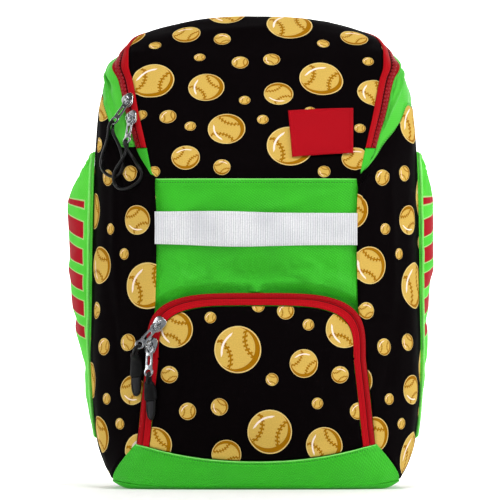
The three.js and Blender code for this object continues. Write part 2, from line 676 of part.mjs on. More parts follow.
/** The y of the back panel's outer face at a place behind the bag. */
function backAt(x, z) {
  let low = 0;
  let high = 1;
  for (let i = 0; i < 30; i += 1) {
    const up = (low + high) / 2;
    const edge = backSurface(1, up).x;
    if (backSurface(clampTo(x / edge, -1, 1), up).z < z) low = up;
    else high = up;
  }
  return backSurface(clampTo(x / backSurface(1, low).x, -1, 1), low).y;
}

/** A closed strip along a curve: wide across a given direction, its thickness a function of its length. */
function strip(curve, { steps, width, thickness, wide, cols = 1 }) {
  const outer = [];
  const inner = [];
  for (let i = 0; i <= steps; i += 1) {
    const t = i / steps;
    const centre = curve.getPointAt(t);
    const tangent = curve.getTangentAt(t);
    const across = wide.clone().addScaledVector(tangent, -wide.dot(tangent)).normalize();
    const normal = tangent.clone().cross(across).normalize();
    const outerRow = [];
    const innerRow = [];
    for (let c = 0; c <= cols; c += 1) {
      const side = signed(c / cols);
      const swell = cols > 1 ? 0.3 + 0.7 * Math.sqrt(1 - side * side) : 1;
      const p = centre.clone().addScaledVector(across, (side * width(t)) / 2);
      outerRow.push(p.clone().addScaledVector(normal, (thickness(t) * swell) / 2));
      innerRow.push(p.clone().addScaledVector(normal, (-thickness(t) * swell) / 2));
    }
    outer.push(outerRow);
    inner.push(innerRow);
  }
  return closeGrids(outer, inner);
}

/** A solid of manifold-3d as a three.js geometry with flat faces, in a frame. */
function framed(solid, frame) {
  const mesh = solid.getMesh();
  const geometry = new THREE.BufferGeometry();
  const position = new Float32Array(mesh.numVert * 3);
  for (let i = 0; i < mesh.numVert; i += 1) {
    position.set(mesh.vertProperties.subarray(i * mesh.numProp, i * mesh.numProp + 3), i * 3);
  }
  geometry.setAttribute('position', new THREE.BufferAttribute(position, 3));
  geometry.setIndex(new THREE.BufferAttribute(mesh.triVerts, 1));
  geometry.applyMatrix4(frame);
  const flat = geometry.toNonIndexed();
  flat.computeVertexNormals();
  return flat;
}

/** A frame with its origin at a point, y along one direction and z along a normal. */
function frameOf(origin, along, normal) {
  const z = normal.clone().normalize();
  const y = along.clone().addScaledVector(z, -along.dot(z)).normalize();
  return new THREE.Matrix4().makeBasis(y.clone().cross(z), y, z).setPosition(origin);
}

/** The harness: padded straps, their webbing and buckles, and the haul loop. */
function addHarness() {
  const route = tracks(strapRoute.map((row, i) => ({ at: i / (strapRoute.length - 1), ...row })), 'at');
  for (const [side, word] of [[1, 'right'], [-1, 'left']]) {
    const padPoints = Array.from({ length: 13 }, (_, i) => {
      const x = (route.x(i / 12) * strapSpacing) / 2;
      const z = route.up(i / 12) * strapTop;
      const lift = 2.1 + strapReach * (route.reach(i / 12) - strapRoute[0].reach);
      return point(side * x, backAt(x, z) + lift, z);
    });
    const pad = new THREE.CatmullRomCurve3(padPoints);
    const padWidth = (t) => strapWidth - (strapWidth - webbingWidth - 3) * smooth((t - 0.7) / 0.3);
    const padThickness = (t) => 3 + (strapThickness - 3) * smooth(t / 0.12) * smooth((1 - t) / 0.1);
    bag.add(named(`shoulder_strap_${word}`, strip(pad,
      { steps: 16, width: padWidth, thickness: padThickness, wide: point(1, 0, 0), cols: 4 }), colours.black));
    const end = padPoints[12];
    const down = pad.getTangentAt(1);
    const out = down.clone().cross(point(side, 0, 0)).multiplyScalar(side);
    const middle = end.clone().addScaledVector(down, buckleLength / 2 + layerGap);
    bag.add(named(`strap_buckle_${word}`, framed(buckle(), frameOf(middle, down, out)), colours.buckle, 0.45));
    const anchorX = (side * anchorSpacing) / 2;
    const anchorY = backAt(anchorSpacing / 2, anchorHeight) + tapeThickness / 2 + layerGap;
    const start = end.clone().addScaledVector(down, buckleLength + 2 * layerGap);
    const foot = point(anchorX, anchorY, anchorHeight);
    const ankleHeight = anchorHeight + ankleRise;
    const ankle = point(anchorX - side * 2, backAt(anchorSpacing / 2 - 2, ankleHeight) + 2.2, ankleHeight);
    const webbing = new THREE.CatmullRomCurve3([
      start,
      start.clone().addScaledVector(down, 9),
      mix(start, foot, 0.42).add(point(0, 3, 0)),
      mix(start, ankle, 0.82).add(point(0, 1, 0)),
      ankle,
      foot,
    ]);
    bag.add(named(`strap_webbing_${word}`, strip(webbing,
      { steps: 12, width: () => webbingWidth, thickness: () => tapeThickness, wide: point(1, 0, 0) }), colours.black));
  }
  const loop = new THREE.CatmullRomCurve3(Array.from({ length: haulSteps + 1 }, (_, i) => {
    const t = i / haulSteps;
    const x = signed(t) * (haulLength / 2);
    const bow = haulBow * Math.sin(Math.PI * t) ** 1.6;
    return point(x, backAt(Math.abs(x), haulHeight) + tapeThickness / 2 + layerGap + 0.3 + bow, haulHeight);
  }));
  bag.add(named('haul_loop', strip(loop,
    { steps: haulSteps, width: () => haulWidth, thickness: () => 2, wide: point(0, 0, 1) }), colours.black));
}

/** A ladder-lock buckle lying in its frame's xy plane, its length along y. */
function buckle() {
  const { Manifold, CrossSection } = wasm;
  const width = webbingWidth + 8;
  const slot = (y, length) => CrossSection.square([webbingWidth + 1, length], true).translate([0, y]);
  const plate = CrossSection.square([width - 4, buckleLength - 4], true).offset(2, 'Round', 2, 12);
  const open = plate.subtract(slot(-buckleLength * 0.22, buckleSlot)).subtract(slot(buckleLength * 0.24, buckleSlot));
  return Manifold.extrude(open, buckleThickness).translate([0, 0, -buckleThickness / 2]);
}

/** A zip slider standing on its zip: y runs up the zip and z away from the cloth. */
function slider() {
  const { Manifold, CrossSection } = wasm;
  const half = sliderWidth / 2;
  const long = sliderLength / 2;
  const base = coilHeight + layerGap;
  const plan = new CrossSection([[
    [-half * 0.6, -long], [half * 0.6, -long], [half, long * 0.1], [half, long * 0.7],
    [half * 0.55, long], [-half * 0.55, long], [-half, long * 0.7], [-half, long * 0.1],
  ]]);
  const body = Manifold.extrude(plan, sliderThickness).translate([0, 0, base]);
  const top = base + sliderThickness;
  const reach = bridgePost + 0.8;
  const inner = bridgePost - 0.8;
  const rise = bridgeRise + bridgeBar;
  const profile = new CrossSection([
    [[-reach, -0.6], [reach, -0.6], [reach, rise * 0.7], [reach * 0.6, rise], [-reach * 0.6, rise], [-reach, rise * 0.7]],
    [[-inner, 0], [-inner, bridgeRise * 0.75], [-inner * 0.6, bridgeRise], [inner * 0.6, bridgeRise],
      [inner, bridgeRise * 0.75], [inner, 0]],
  ], 'EvenOdd');
  const bridge = Manifold.extrude(profile, 1.8).translate([0, 0, -0.9]).rotate([90, 0, 90]).translate([0, 0, top]);
  return body.add(bridge);
}

/** A zip pull: its upper hole at the origin, the plate running down -y, its faces across z. */
function pull() {
  const { Manifold, CrossSection } = wasm;
  const ring = (y, radius, sides) => CrossSection.circle(radius, sides).translate([0, y]);
  const shank = CrossSection.square([4.6, pullLength - 5], true).translate([0, -pullLength / 2]);
  const outline = CrossSection.union([ring(0, pullRing, 14), ring(-pullLength, pullRing, 14), shank]);
  const window = CrossSection.square([1.5, pullLength * 0.36], true).translate([0, -pullLength * 0.48]);
  const open = outline.subtract(ring(0, pullHole, 12)).subtract(ring(-pullLength, pullHole, 12)).subtract(window);
  return Manifold.extrude(open, pullThickness).translate([0, 0, -pullThickness / 2]);
}

/** A closed tube along a ring of points. */
function closedTube(points, radius, sides) {
  const count = points.length;
  const next = (i) => points[(i + 1) % count];
  const before = (i) => points[(i + count - 1) % count];
  const tangents = points.map((_, i) => next(i).clone().sub(before(i)).normalize());
  const normals = [point(0.3, -1, 0.2).cross(tangents[0]).normalize()];
  for (let i = 1; i < count; i += 1) {
    const n = normals[i - 1].clone();
    normals.push(n.addScaledVector(tangents[i], -n.dot(tangents[i])).normalize());
  }
  const last = normals[count - 1].clone().addScaledVector(tangents[0], -normals[count - 1].dot(tangents[0])).normalize();
  const twist = Math.atan2(last.clone().cross(normals[0]).dot(tangents[0]), last.dot(normals[0]));
  const position = [];
  points.forEach((p, i) => {
    const side = tangents[i].clone().cross(normals[i]);
    for (let s = 0; s < sides; s += 1) {
      const angle = (2 * Math.PI * s) / sides + (twist * i) / count;
      const q = p.clone().addScaledVector(normals[i], radius * Math.cos(angle))
        .addScaledVector(side, radius * Math.sin(angle));
      position.push(q.x, q.y, q.z);
    }
  });
  const index = [];
  for (let i = 0; i < count; i += 1) {
    for (let s = 0; s < sides; s += 1) {
      const t = (s + 1) % sides;
      const j = (i + 1) % count;
      index.push(i * sides + s, i * sides + t, j * sides + t, i * sides + s, j * sides + t, j * sides + s);
    }
  }
  return facingOut(position, index);
}

/** The y at which a cord of a radius rests on the front of what is there, at a place. */
function restingAt(x, z, radius) {
  const caster = new THREE.Raycaster();
  let nearest = Infinity;
  for (let i = 0; i < 9; i += 1) {
    const reach = i === 0 ? 0 : radius + 0.6;
    const origin = point(x + reach * Math.cos(i * (Math.PI / 4)), -3 * halfDepth, z + reach * Math.sin(i * (Math.PI / 4)));
    caster.set(origin, point(0, 1, 0));
    const hit = caster.intersectObjects(bag.children, false)[0];
    if (hit) nearest = Math.min(nearest, hit.point.y - (i === 0 ? radius : radius * 0.35));
  }
  return nearest - 0.8;
}

/** Where a zip head sits: y runs up its zip from lower to upper, z away from the cloth. */
function headFrame(surface, along) {
  const eps = 0.004;
  const at = surface(along, 0.5);
  const upZip = surface(along + eps, 0.5).sub(surface(along - eps, 0.5));
  const across = surface(along, 0.9).sub(surface(along, 0.1));
  const normal = upZip.clone().cross(across).normalize();
  if (normal.dot(inward(at)) > 0) normal.negate();
  return frameOf(at.addScaledVector(normal, -coilHeight), upZip, normal);
}

/** Where a pull hangs from its slider, its plate running towards a direction seen from the front. */
function pullFrame(frame, [dx, dz]) {
  const local = point(dx, 0, dz).transformDirection(frame.clone().invert());
  const rest = coilHeight + layerGap + sliderThickness + bridgeRise / 2;
  return frame.clone()
    .multiply(new THREE.Matrix4().makeTranslation(0, -bridgePost, rest))
    .multiply(new THREE.Matrix4().makeRotationZ(Math.atan2(local.x, -local.y)))
    .multiply(new THREE.Matrix4().makeRotationX(THREE.MathUtils.degToRad(-pullTilt)));
}

/** The ring of points of a cord that goes through a pull's lower hole and lies on the cloth below it. */
function cordRing(place, loop) {
  const radius = cordDiameter / 2;
  const off = pullThickness / 2 + radius + 0.45;
  const local = (drop, out) => point(0, -pullLength - drop, out).applyMatrix4(place);
  const hole = local(0, 0);
  const flat = new THREE.CatmullRomCurve3(loop.map(([dx, dz]) => point(hole.x + dx, 0, hole.z + dz)));
  const fine = flat.getSpacedPoints(24).map((p) => point(p.x, restingAt(p.x, p.z, radius), p.z));
  const nearest = (i) => Math.min(...fine.slice(Math.max(i - 1, 0), i + 2).map((p) => p.y));
  const lying = fine.map((p, i) => point(p.x, nearest(i), p.z)).filter((_, i) => i % 2 === 0);
  const front = [hole, local(0.6, off * 0.8), local(3, off + 0.2), local(6.4, off)];
  const behind = [local(7.4, -off * 0.7), local(3.2, -off - 0.2), local(0.6, -off * 0.8)];
  return [...front, ...lying, ...behind];
}

/** The four zip heads. Each loop gives its cord's places in millimetres across and up from its pull's hole. */
const zipHeads = [
  { name: 'lid_upper', surface: lidZipSurface, along: 0.098, heading: [-0.35, -0.94],
    loop: [[-5, -13], [-7, -20], [-10, -29], [-12, -38], [-10, -45], [-3, -50], [4, -50], [8, -40], [6, -27], [1, -15]] },
  { name: 'lid_lower', surface: lidZipSurface, along: 0.06, heading: [0.25, -0.97],
    loop: [[4, -13], [8, -20], [12, -26], [15, -31], [11, -37], [4, -42], [-5, -44], [-11, -39], [-11, -30], [-6, -21],
      [-1, -14]] },
  { name: 'pocket_upper', surface: pocketZipSurface, along: 0.286, heading: [-0.66, -0.75],
    loop: [[-5.6, -13], [-6.4, -22], [-6.6, -34], [-6, -42], [-3.4, -46], [-1, -42], [-0.6, -34], [-0.6, -22],
      [-1.4, -13]] },
  { name: 'pocket_lower', surface: pocketZipSurface, along: 0.2214, heading: [0.05, -0.99],
    loop: [[-1.6, -13], [-1.6, -20], [-1.2, -30], [-0.6, -38], [1.8, -42], [4, -38], [4.4, -30], [4, -20], [3, -13]] },
];

/** The zip heads: every slider and pull first, then the cords, which lie over them. */
function addZipHeads() {
  const placed = zipHeads.map(({ name, surface, along, heading, loop }) => {
    const frame = headFrame(surface, along);
    const place = pullFrame(frame, heading);
    bag.add(named(`${name}_slider`, framed(slider(), frame), colours.metal, 0.3, 1));
    bag.add(named(`${name}_pull`, framed(pull(), place), colours.metal, 0.3, 1));
    return { name, place, loop };
  });
  placed.forEach(({ name, place, loop }) => {
    bag.updateMatrixWorld(true);
    bag.add(named(`${name}_cord`, closedTube(cordRing(place, loop), cordDiameter / 2, 8), colours.black, 0.7));
  });
}

addBody();
addPocket();
addTrims();
addHarness();
addZipHeads();

export default bag;
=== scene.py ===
"""A child's T-ball backpack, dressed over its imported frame.

The frame is in metres, +Z up, with the front of the bag towards -Y. The tables and the forms below
are in millimetres, as the bag was drawn, and every mesh is scaled once as it is made. Each cut of
cloth is a grid surface over the same master form as its solid, with rolled edges, gathers beside
its seams, slow slack waves and placed creases. Zips, stitches, webbing and hardware are profiles
carried along lines of those surfaces.
"""
import logging
import math
from dataclasses import dataclass, field
from enum import Enum
from typing import Any, Callable, Sequence

import bmesh
import bpy
import numpy as np
from mathutils import Matrix, Vector


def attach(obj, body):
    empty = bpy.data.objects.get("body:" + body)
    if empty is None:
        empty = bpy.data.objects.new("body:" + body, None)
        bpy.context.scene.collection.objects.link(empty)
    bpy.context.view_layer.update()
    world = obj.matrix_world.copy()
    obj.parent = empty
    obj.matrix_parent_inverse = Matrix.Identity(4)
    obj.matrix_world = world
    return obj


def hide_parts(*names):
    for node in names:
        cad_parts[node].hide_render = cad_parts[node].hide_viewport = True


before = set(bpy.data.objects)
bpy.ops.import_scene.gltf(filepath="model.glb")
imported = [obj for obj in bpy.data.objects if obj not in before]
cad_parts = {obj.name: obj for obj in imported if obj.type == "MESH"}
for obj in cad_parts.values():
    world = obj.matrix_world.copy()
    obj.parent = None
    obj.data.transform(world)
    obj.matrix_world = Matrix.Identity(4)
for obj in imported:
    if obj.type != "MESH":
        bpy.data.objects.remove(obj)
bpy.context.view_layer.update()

Array = np.ndarray
Surface = Callable[[Array, Array], Array]
MM = 0.001
PI = math.pi
FORWARD = np.array([0.0, -1.0, 0.0])
DOWNWARD = np.array([0.0, 0.0, -1.0])
TO_THE_RIGHT = np.array([1.0, 0.0, 0.0])
UPWARD = np.array([0.0, 0.0, 1.0])
OFF_THE_LID = np.array([0.0, -0.85, 0.53])
SHARP_FROM = 52.0
SPINDLE_SIDES = 6
STITCH_SWELL = np.array([0.3, 0.9, 1.0, 0.9, 0.3])
PAD_STITCH = {"length": 2.2, "pitch": 3.4, "radius": 0.42}
BAR_SWELL = np.array([0.45, 0.95, 1.0, 0.95, 0.45])

log = logging.getLogger("tball_backpack")


class Side(Enum):
    """The viewer's right and left of the bag."""

    RIGHT = 1
    LEFT = -1


class Edge(Enum):
    """The four edges of a cut of cloth."""

    START = "start"
    END = "end"
    LOW = "low"
    HIGH = "high"


# Small array helpers

def xyz(x: Any, y: Any, z: Any) -> Array:
    """Points from three arrays that broadcast together."""
    return np.stack(np.broadcast_arrays(*(np.asarray(c, float) for c in (x, y, z))), -1)


def mix(a: Array, b: Array, share: Any) -> Array:
    """Points a share of the way from a to b."""
    return a + (b - a) * np.asarray(share, float)[..., None]


def unit(vectors: Array) -> Array:
    """Vectors at length one."""
    return vectors / np.maximum(np.linalg.norm(vectors, axis=-1, keepdims=True), 1e-12)


def smooth(share: Any) -> Array:
    """A share from 0 to 1 that starts and stops gently: 3t^2 - 2t^3."""
    t = np.clip(np.asarray(share, float), 0.0, 1.0)
    return t * t * (3.0 - 2.0 * t)


def dense_ends(t: Array) -> Array:
    """Shares that crowd towards nought and one: (1 - cos pi t) / 2."""
    return 0.5 - 0.5 * np.cos(PI * t)


def mirrored(points: Array, side: Side) -> Array:
    """Points of the right side, turned over to the left where asked."""
    return points * np.array([side.value, 1.0, 1.0])


def walk(points: Array) -> Array:
    """Length run along a line of points, from nought at its first."""
    steps = np.linalg.norm(np.diff(points, axis=0), axis=-1)
    return np.concatenate([[0.0], np.cumsum(steps)])


def read_at(at: Array, stations: Array, points: Array) -> Array:
    """Points read between the given ones, at places on a rising run of stations."""
    return np.stack([np.interp(at, stations, points[:, i]) for i in range(3)], -1)


def resampled(points: Array, count: int) -> Array:
    """The same line with its points evenly spaced."""
    run = walk(points)
    at = np.linspace(0.0, run[-1], count)
    return read_at(at, run, points)


def lattice_noise(points: Array, size: float, seed: int, octaves: int = 2) -> Array:
    """Smooth noise from -1 to 1.

    Random values stand on a cubic lattice of the given spacing and are blended by smooth shares of
    the cell; each further octave has half the spacing and half the height.

    Args:
        points: places in millimetres.
        size: spacing of the lattice in millimetres.
        seed: number that fixes the random values.
        octaves: how many layers are added.
    Returns:
        One value for each point.
    """
    values = np.random.default_rng(seed).uniform(-1.0, 1.0, (32, 32, 32))
    total = np.zeros(points.shape[:-1])
    height = 1.0
    for octave in range(octaves):
        place = points / (size / 2 ** octave) + 7.3 * octave
        cell = np.floor(place).astype(int)
        part = smooth(place - cell)
        for dx, dy, dz in np.ndindex(2, 2, 2):
            weight = (np.where(dx, part[..., 0], 1 - part[..., 0])
                      * np.where(dy, part[..., 1], 1 - part[..., 1])
                      * np.where(dz, part[..., 2], 1 - part[..., 2]))
            total += height * weight * values[(cell[..., 0] + dx) % 32, (cell[..., 1] + dy) % 32,
                                              (cell[..., 2] + dz) % 32]
        height /= 2
    return total


class Tracks:
    """The columns of a table as smooth curves against its first column.

    Between two rows a column is a cubic with harmonic-mean slopes, so it never overshoots.
    """

    def __init__(self, names: str, rows: Sequence[tuple[float, ...]]) -> None:
        """Args:
            names: column names, the first being the key.
            rows: the table.
        """
        data = np.array(rows, float)
        self.at = data[:, 0]
        self.value = dict(zip(names.split()[1:], data.T[1:]))
        self.tangent = {name: self._slopes(column) for name, column in self.value.items()}

    def _slopes(self, column: Array) -> Array:
        """The slope of a column at each row: nought at a turn, else the harmonic mean."""
        slope = np.diff(column) / np.diff(self.at)
        before, after = slope[:-1], slope[1:]
        total = np.where(before + after == 0, 1.0, before + after)
        inner = np.where(before * after <= 0, 0.0, 2 * before * after / total)
        return np.concatenate([slope[:1], inner, slope[-1:]])

    def __call__(self, name: str, key: Any) -> Array:
        """Args:
            name: the column.
            key: where it is read.
        Returns:
            The column's value there.
        """
        x = np.clip(np.asarray(key, float), self.at[0], self.at[-1])
        row = np.clip(np.searchsorted(self.at, x, side="left") - 1, 0, len(self.at) - 2)
        step = self.at[row + 1] - self.at[row]
        t = (x - self.at[row]) / step
        value, tangent = self.value[name], self.tangent[name]
        return ((2 * t ** 3 - 3 * t ** 2 + 1) * value[row] + (t ** 3 - 2 * t ** 2 + t) * step * tangent[row]
                + (3 * t ** 2 - 2 * t ** 3) * value[row + 1] + (t ** 3 - t ** 2) * step * tangent[row + 1])


# The master form

LOWER_SECTIONS = Tracks("level seam_x seam_y corner_x corner_y back_x back_y", [
    (0.0, 0.753, -1.05, 0.849, -0.6, 0.767, 0.875),
    (0.033, 0.781, -1.1, 0.877, -0.6, 0.815, 0.95),
    (0.072, 0.753, -1.075, 0.921, -0.55, 0.842, 0.988),
    (0.144, 0.726, -1.038, 0.966, -0.488, 0.87, 1.0),
    (0.28, 0.699, -1.0, 1.0, -0.425, 0.884, 1.0),
    (0.44, 0.664, -0.975, 1.014, -0.388, 0.89, 1.0),
    (0.6, 0.623, -0.963, 1.007, -0.363, 0.89, 1.0),
    (0.84, 0.616, -0.95, 1.0, -0.325, 0.89, 1.0),
    (1.0, 0.63, -0.925, 0.993, -0.25, 0.884, 1.0),
])
UPPER_SECTIONS = Tracks(
    "level edge_x edge_y edge_rise over_x over_y over_z zip corner_x corner_y corner_rise "
    "back_x back_y back_rise tip", [
        (1.0, 0.63, -0.925, 0.0, 0.64, 0.77, 0, 0.12, 0.993, -0.25, 0.0, 0.884, 1.0, 0.0, 0),
        (1.17, 0.664, -0.713, 0.168, 0.64, 0.77, 0, 0.95, 0.986, -0.1, 0.175, 0.877, 1.0, 0.161, 0),
        (1.38, 0.712, -0.4, 0.385, 0.76, 0.65, 0, 1, 0.969, 0.1, 0.392, 0.863, 1.0, 0.357, 0),
        (1.58, 0.75, -0.088, 0.587, 0.82, 0.57, 0, 1.03, 0.925, 0.35, 0.566, 0.836, 1.013, 0.51, 0),
        (1.66, 0.775, 0.075, 0.678, 0.87, 0.48, -0.06, 1.12, 0.89, 0.55, 0.636, 0.808, 1.013, 0.594, 0),
        (1.75, 0.778, 0.275, 0.776, 0.6, 0.72, -0.36, 1.16, 0.829, 0.725, 0.706, 0.774, 1.025, 0.664, 0),
        (1.83, 0.748, 0.5, 0.853, 0.41, 0.71, -0.59, 1.05, 0.774, 0.85, 0.762, 0.733, 1.025, 0.727, 0.05),
        (1.92, 0.671, 0.688, 0.895, 0.37, 0.69, -0.62, 1, 0.712, 0.938, 0.797, 0.685, 1.013, 0.776, 0.35),
        (2.0, 0.575, 0.825, 0.916, 0.5, 0.62, -0.58, 1, 0.634, 0.963, 0.846, 0.637, 0.988, 0.839, 1),
    ])
LID_MIDDLE = Tracks("level y rise", [
    (1.0, -0.955, 0.0), (1.17, -0.75, 0.182), (1.38, -0.463, 0.413), (1.58, -0.125, 0.629),
    (1.66, 0.013, 0.713), (1.75, 0.213, 0.811), (1.83, 0.45, 0.923), (1.92, 0.688, 1.0), (2.0, 0.9, 0.983),
])
SIDE_LIMITS = Tracks("along low high", [
    (0.0, 0.144, 1.0), (0.05, 0.122, 1.13), (0.14, 0.083, 1.21), (0.25, 0.044, 1.34), (0.32, 0.028, 1.4),
    (0.42, 0.023, 1.46), (0.7, 0.022, 1.52), (1.0, 0.022, 1.54),
])
YOKE_RAISED = Tracks("along right left", [
    (0.0, 0.0, 0.18), (0.05, 0.045, 0.045), (0.14, 0.06, -0.03), (0.19, 0.06, -0.045), (0.235, 0.06, 0.02),
    (0.3, 0.04, 0.04), (0.385, -0.02, 0.07), (0.45, -0.06, 0.07), (0.7, -0.04, 0.02), (1.0, -0.03, 0.0),
])
SLEEVE_FULLNESS = Tracks("up left right", [
    (0.0, 0.03, 0.03), (0.12, 0.22, 0.1), (0.27, 0.3, 0.4), (0.4, 0.68, 0.58), (0.52, 0.86, 0.7),
    (0.65, 0.96, 0.95), (0.85, 1.0, 1.0), (0.93, 0.84, 0.8), (1.0, 0.4, 0.5),
])
STRAP_ROUTE = Tracks("at x reach up", [
    (0 / 6, 1.0, 0.04, 0.985), (1 / 6, 1.03, 0.36, 1.01), (2 / 6, 1.12, 0.78, 0.955), (3 / 6, 1.35, 1.0, 0.8),
    (4 / 6, 1.72, 0.94, 0.62), (5 / 6, 2.05, 0.74, 0.48), (6 / 6, 2.24, 0.55, 0.38),
])


@dataclass(frozen=True)
class BagForm:
    """The bag's master form, in millimetres, that every cut of cloth lies on."""

    bag_height: float = 420.0
    hem_height: float = 277.0
    body_width: float = 292.0
    body_depth: float = 160.0
    core_side: float = 90.0
    core_depth: float = 60.0
    core_bottom: float = 60.0
    core_top: float = 120.0
    cloth: float = 2.0
    tape: float = 1.4
    gap: float = 0.4
    lid_zip: float = 15.5
    pocket_zip: float = 11.0
    coil: float = 0.9
    pocket_height: float = 173.0
    pocket_shoulder: float = 115.0
    pocket_bulge: float = 22.0
    arch_power: float = 3.7
    pocket_lip: float = 5.0
    boot_height: float = 25.0
    boot_side: float = 40.0
    boot_bulge: float = 2.5
    sleeve_top: float = 298.0
    sleeve_bottom: float = 44.0
    sleeve_bulge_left: float = 23.2
    sleeve_bulge_right: float = 13.4
    sleeve_front: float = 0.5
    sleeve_back: float = 0.93
    front_bow: float = 2.0
    back_crown: float = 3.0
    corner_share: float = 0.45
    corner_round: float = 0.12
    boot_corner: float = 0.32
    lid_rows: int = 12
    garage_rows: int = 2
    lid_steps: int = 14
    arch_steps: int = 18
    zip_side_steps: int = 6

    @property
    def half_width(self) -> float:
        """Half the body's width."""
        return self.body_width / 2

    @property
    def half_depth(self) -> float:
        """Half the body's depth."""
        return self.body_depth / 2

    @property
    def lid_rise(self) -> float:
        """Height from the hem to the ridge."""
        return self.bag_height - self.hem_height

    def upper(self, x: str, y: str, rise: str, level: Array) -> Array:
        """A point of the upper sections from three of their columns."""
        return xyz(UPPER_SECTIONS(x, level) * self.half_width, UPPER_SECTIONS(y, level) * self.half_depth,
                   self.hem_height + UPPER_SECTIONS(rise, level) * self.lid_rise)

    def lid_edge(self, level: Array) -> Array:
        """The right edge of the lid at a level."""
        return self.upper("edge_x", "edge_y", "edge_rise", level)

    def across_zip(self, level: Array) -> Array:
        """The way across the right run of the lid's zip, out from the lid."""
        return unit(xyz(*(UPPER_SECTIONS(name, level) for name in ("over_x", "over_y", "over_z"))))

    def zip_outer(self, level: Array) -> Array:
        """The outer edge of the right run of the lid's zip: the lid's edge plus the zip's width."""
        width = self.lid_zip * UPPER_SECTIONS("zip", level)
        return self.lid_edge(level) + self.across_zip(level) * width[..., None]

    def section(self, level: Array) -> tuple[Array, Array, Array]:
        """Front seam, front corner and back seam of the right wall at a level, below or above the hem."""
        level = np.asarray(level, float)
        low = [xyz(LOWER_SECTIONS(f"{name}_x", level) * self.half_width,
                   LOWER_SECTIONS(f"{name}_y", level) * self.half_depth, level * self.hem_height)
               for name in ("seam", "corner", "back")]
        seam = self.zip_outer(level)
        tip = UPPER_SECTIONS("tip", level)
        corner = mix(self.upper("corner_x", "corner_y", "corner_rise", level),
                     seam + np.array([0.8, 1.6, -1.0]), tip)
        back = mix(self.upper("back_x", "back_y", "back_rise", level), seam + np.array([1.4, 3.6, -2.2]), tip)
        below = (level <= 1)[..., None]
        return tuple(np.where(below, a, b) for a, b in zip(low, (seam, corner, back)))

    def side_wall(self, along: Any, level: Any) -> Array:
        """A point of the right wall: two straight runs from seam to corner to back, the corner rounded
        by a quadratic, plus a half sine of fullness on each run."""
        along, level = np.broadcast_arrays(np.asarray(along, float), np.asarray(level, float))
        seam, corner, back = self.section(level)

        def straight(t: Array) -> Array:
            """The two straight runs."""
            t = np.broadcast_to(t, along.shape)
            first = mix(seam, corner, t / self.corner_share)
            second = mix(corner, back, (t - self.corner_share) / (1 - self.corner_share))
            return np.where((t < self.corner_share)[..., None], first, second)

        start = self.corner_share - self.corner_round
        stop = self.corner_share + self.corner_round
        t = np.clip((along - start) / (stop - start), 0, 1)
        turned = mix(mix(straight(start), corner, t), mix(corner, straight(stop), t), t)
        p = np.where(((along > start) & (along < stop))[..., None], turned, straight(along))
        fill = 1 - smooth((level - 1.5) / 0.4)
        column = np.sin(PI * np.clip(along / self.corner_share, 0, 1))
        flank = np.sin(PI * np.clip((along - self.corner_share) / (1 - self.corner_share), 0, 1))
        outward = unit(xyz(corner[..., 1] - seam[..., 1], seam[..., 0] - corner[..., 0], 0.0))
        p = p + outward * (4 * column * fill)[..., None]
        return p + xyz(3 * flank * fill, 0.0, 0.0)

    def side_flat(self, along: Array, level: Array) -> Array:
        """Places on the flat cloth of the side wall: length round the section from its front corner, and
        length up the corner's line. Both are read from a table of summed steps."""
        shares, levels = np.linspace(0, 1, 81), np.linspace(0, 2, 161)
        table = self.side_wall(shares[None, :], levels[:, None])
        round_run = np.insert(np.cumsum(np.linalg.norm(np.diff(table, axis=1), axis=-1), 1), 0, 0.0, 1)
        corner = int(self.corner_share * 80)
        round_run -= round_run[:, [corner]]
        up_run = walk(table[:, corner])
        x, y = along * 80, np.clip(level, 0, 2) * 80
        c, r = np.clip(x.astype(int), 0, 79), np.clip(y.astype(int), 0, 159)
        fx, fy = x - c, y - r
        low = round_run[r, c] * (1 - fx) + round_run[r, c + 1] * fx
        high = round_run[r + 1, c] * (1 - fx) + round_run[r + 1, c + 1] * fx
        return xyz(low + (high - low) * fy, np.interp(level, levels, up_run), 0)[..., :2]

    def lid(self, across: Any, level: Any) -> Array:
        """A point of the lid: its edge, drawn towards its middle line by 1 - |across|^2.4."""
        across, level = np.broadcast_arrays(np.asarray(across, float), np.asarray(level, float))
        edge = self.lid_edge(level)
        hump = 1 - np.abs(across) ** 2.4
        y = LID_MIDDLE("y", level) * self.half_depth
        z = self.hem_height + LID_MIDDLE("rise", level) * self.lid_rise
        return xyz(across * edge[..., 0], edge[..., 1] + (y - edge[..., 1]) * hump,
                   edge[..., 2] + (z - edge[..., 2]) * hump)

    def rear_zip_outer(self, across: Any) -> Array:
        """The outer edge of the lid zip's rear run."""
        across = np.asarray(across, float)
        side = self.across_zip(np.array(2.0))
        end = xyz(side[0] * np.sign(across), side[1], side[2])
        way = mix(xyz(0.0 * across, 0.72, -0.69), end, np.abs(across))
        return self.lid(across, 2.0) + unit(way) * self.lid_zip

    def back_form(self, across: Array, level: Array) -> Array:
        """A point of the back panel before its top is drawn to the rear zip."""
        _, _, back = self.section(level)
        reach = np.abs(across)
        share = np.where(level <= 1, LOWER_SECTIONS("back_y", level), UPPER_SECTIONS("back_y", level))
        crown = share * self.half_depth + self.back_crown * np.sin(PI * np.clip(level / 2 + 0.08, 0, 1))
        top = self.rear_zip_outer(0.0)[2] - self.section(np.array(2.0))[2][2]
        lift = top * smooth((level - 1.3) / 0.7)
        return xyz(across * back[..., 0], back[..., 1] + (crown - back[..., 1]) * (1 - reach ** 4),
                   back[..., 2] + lift * (1 - reach ** 2.2))

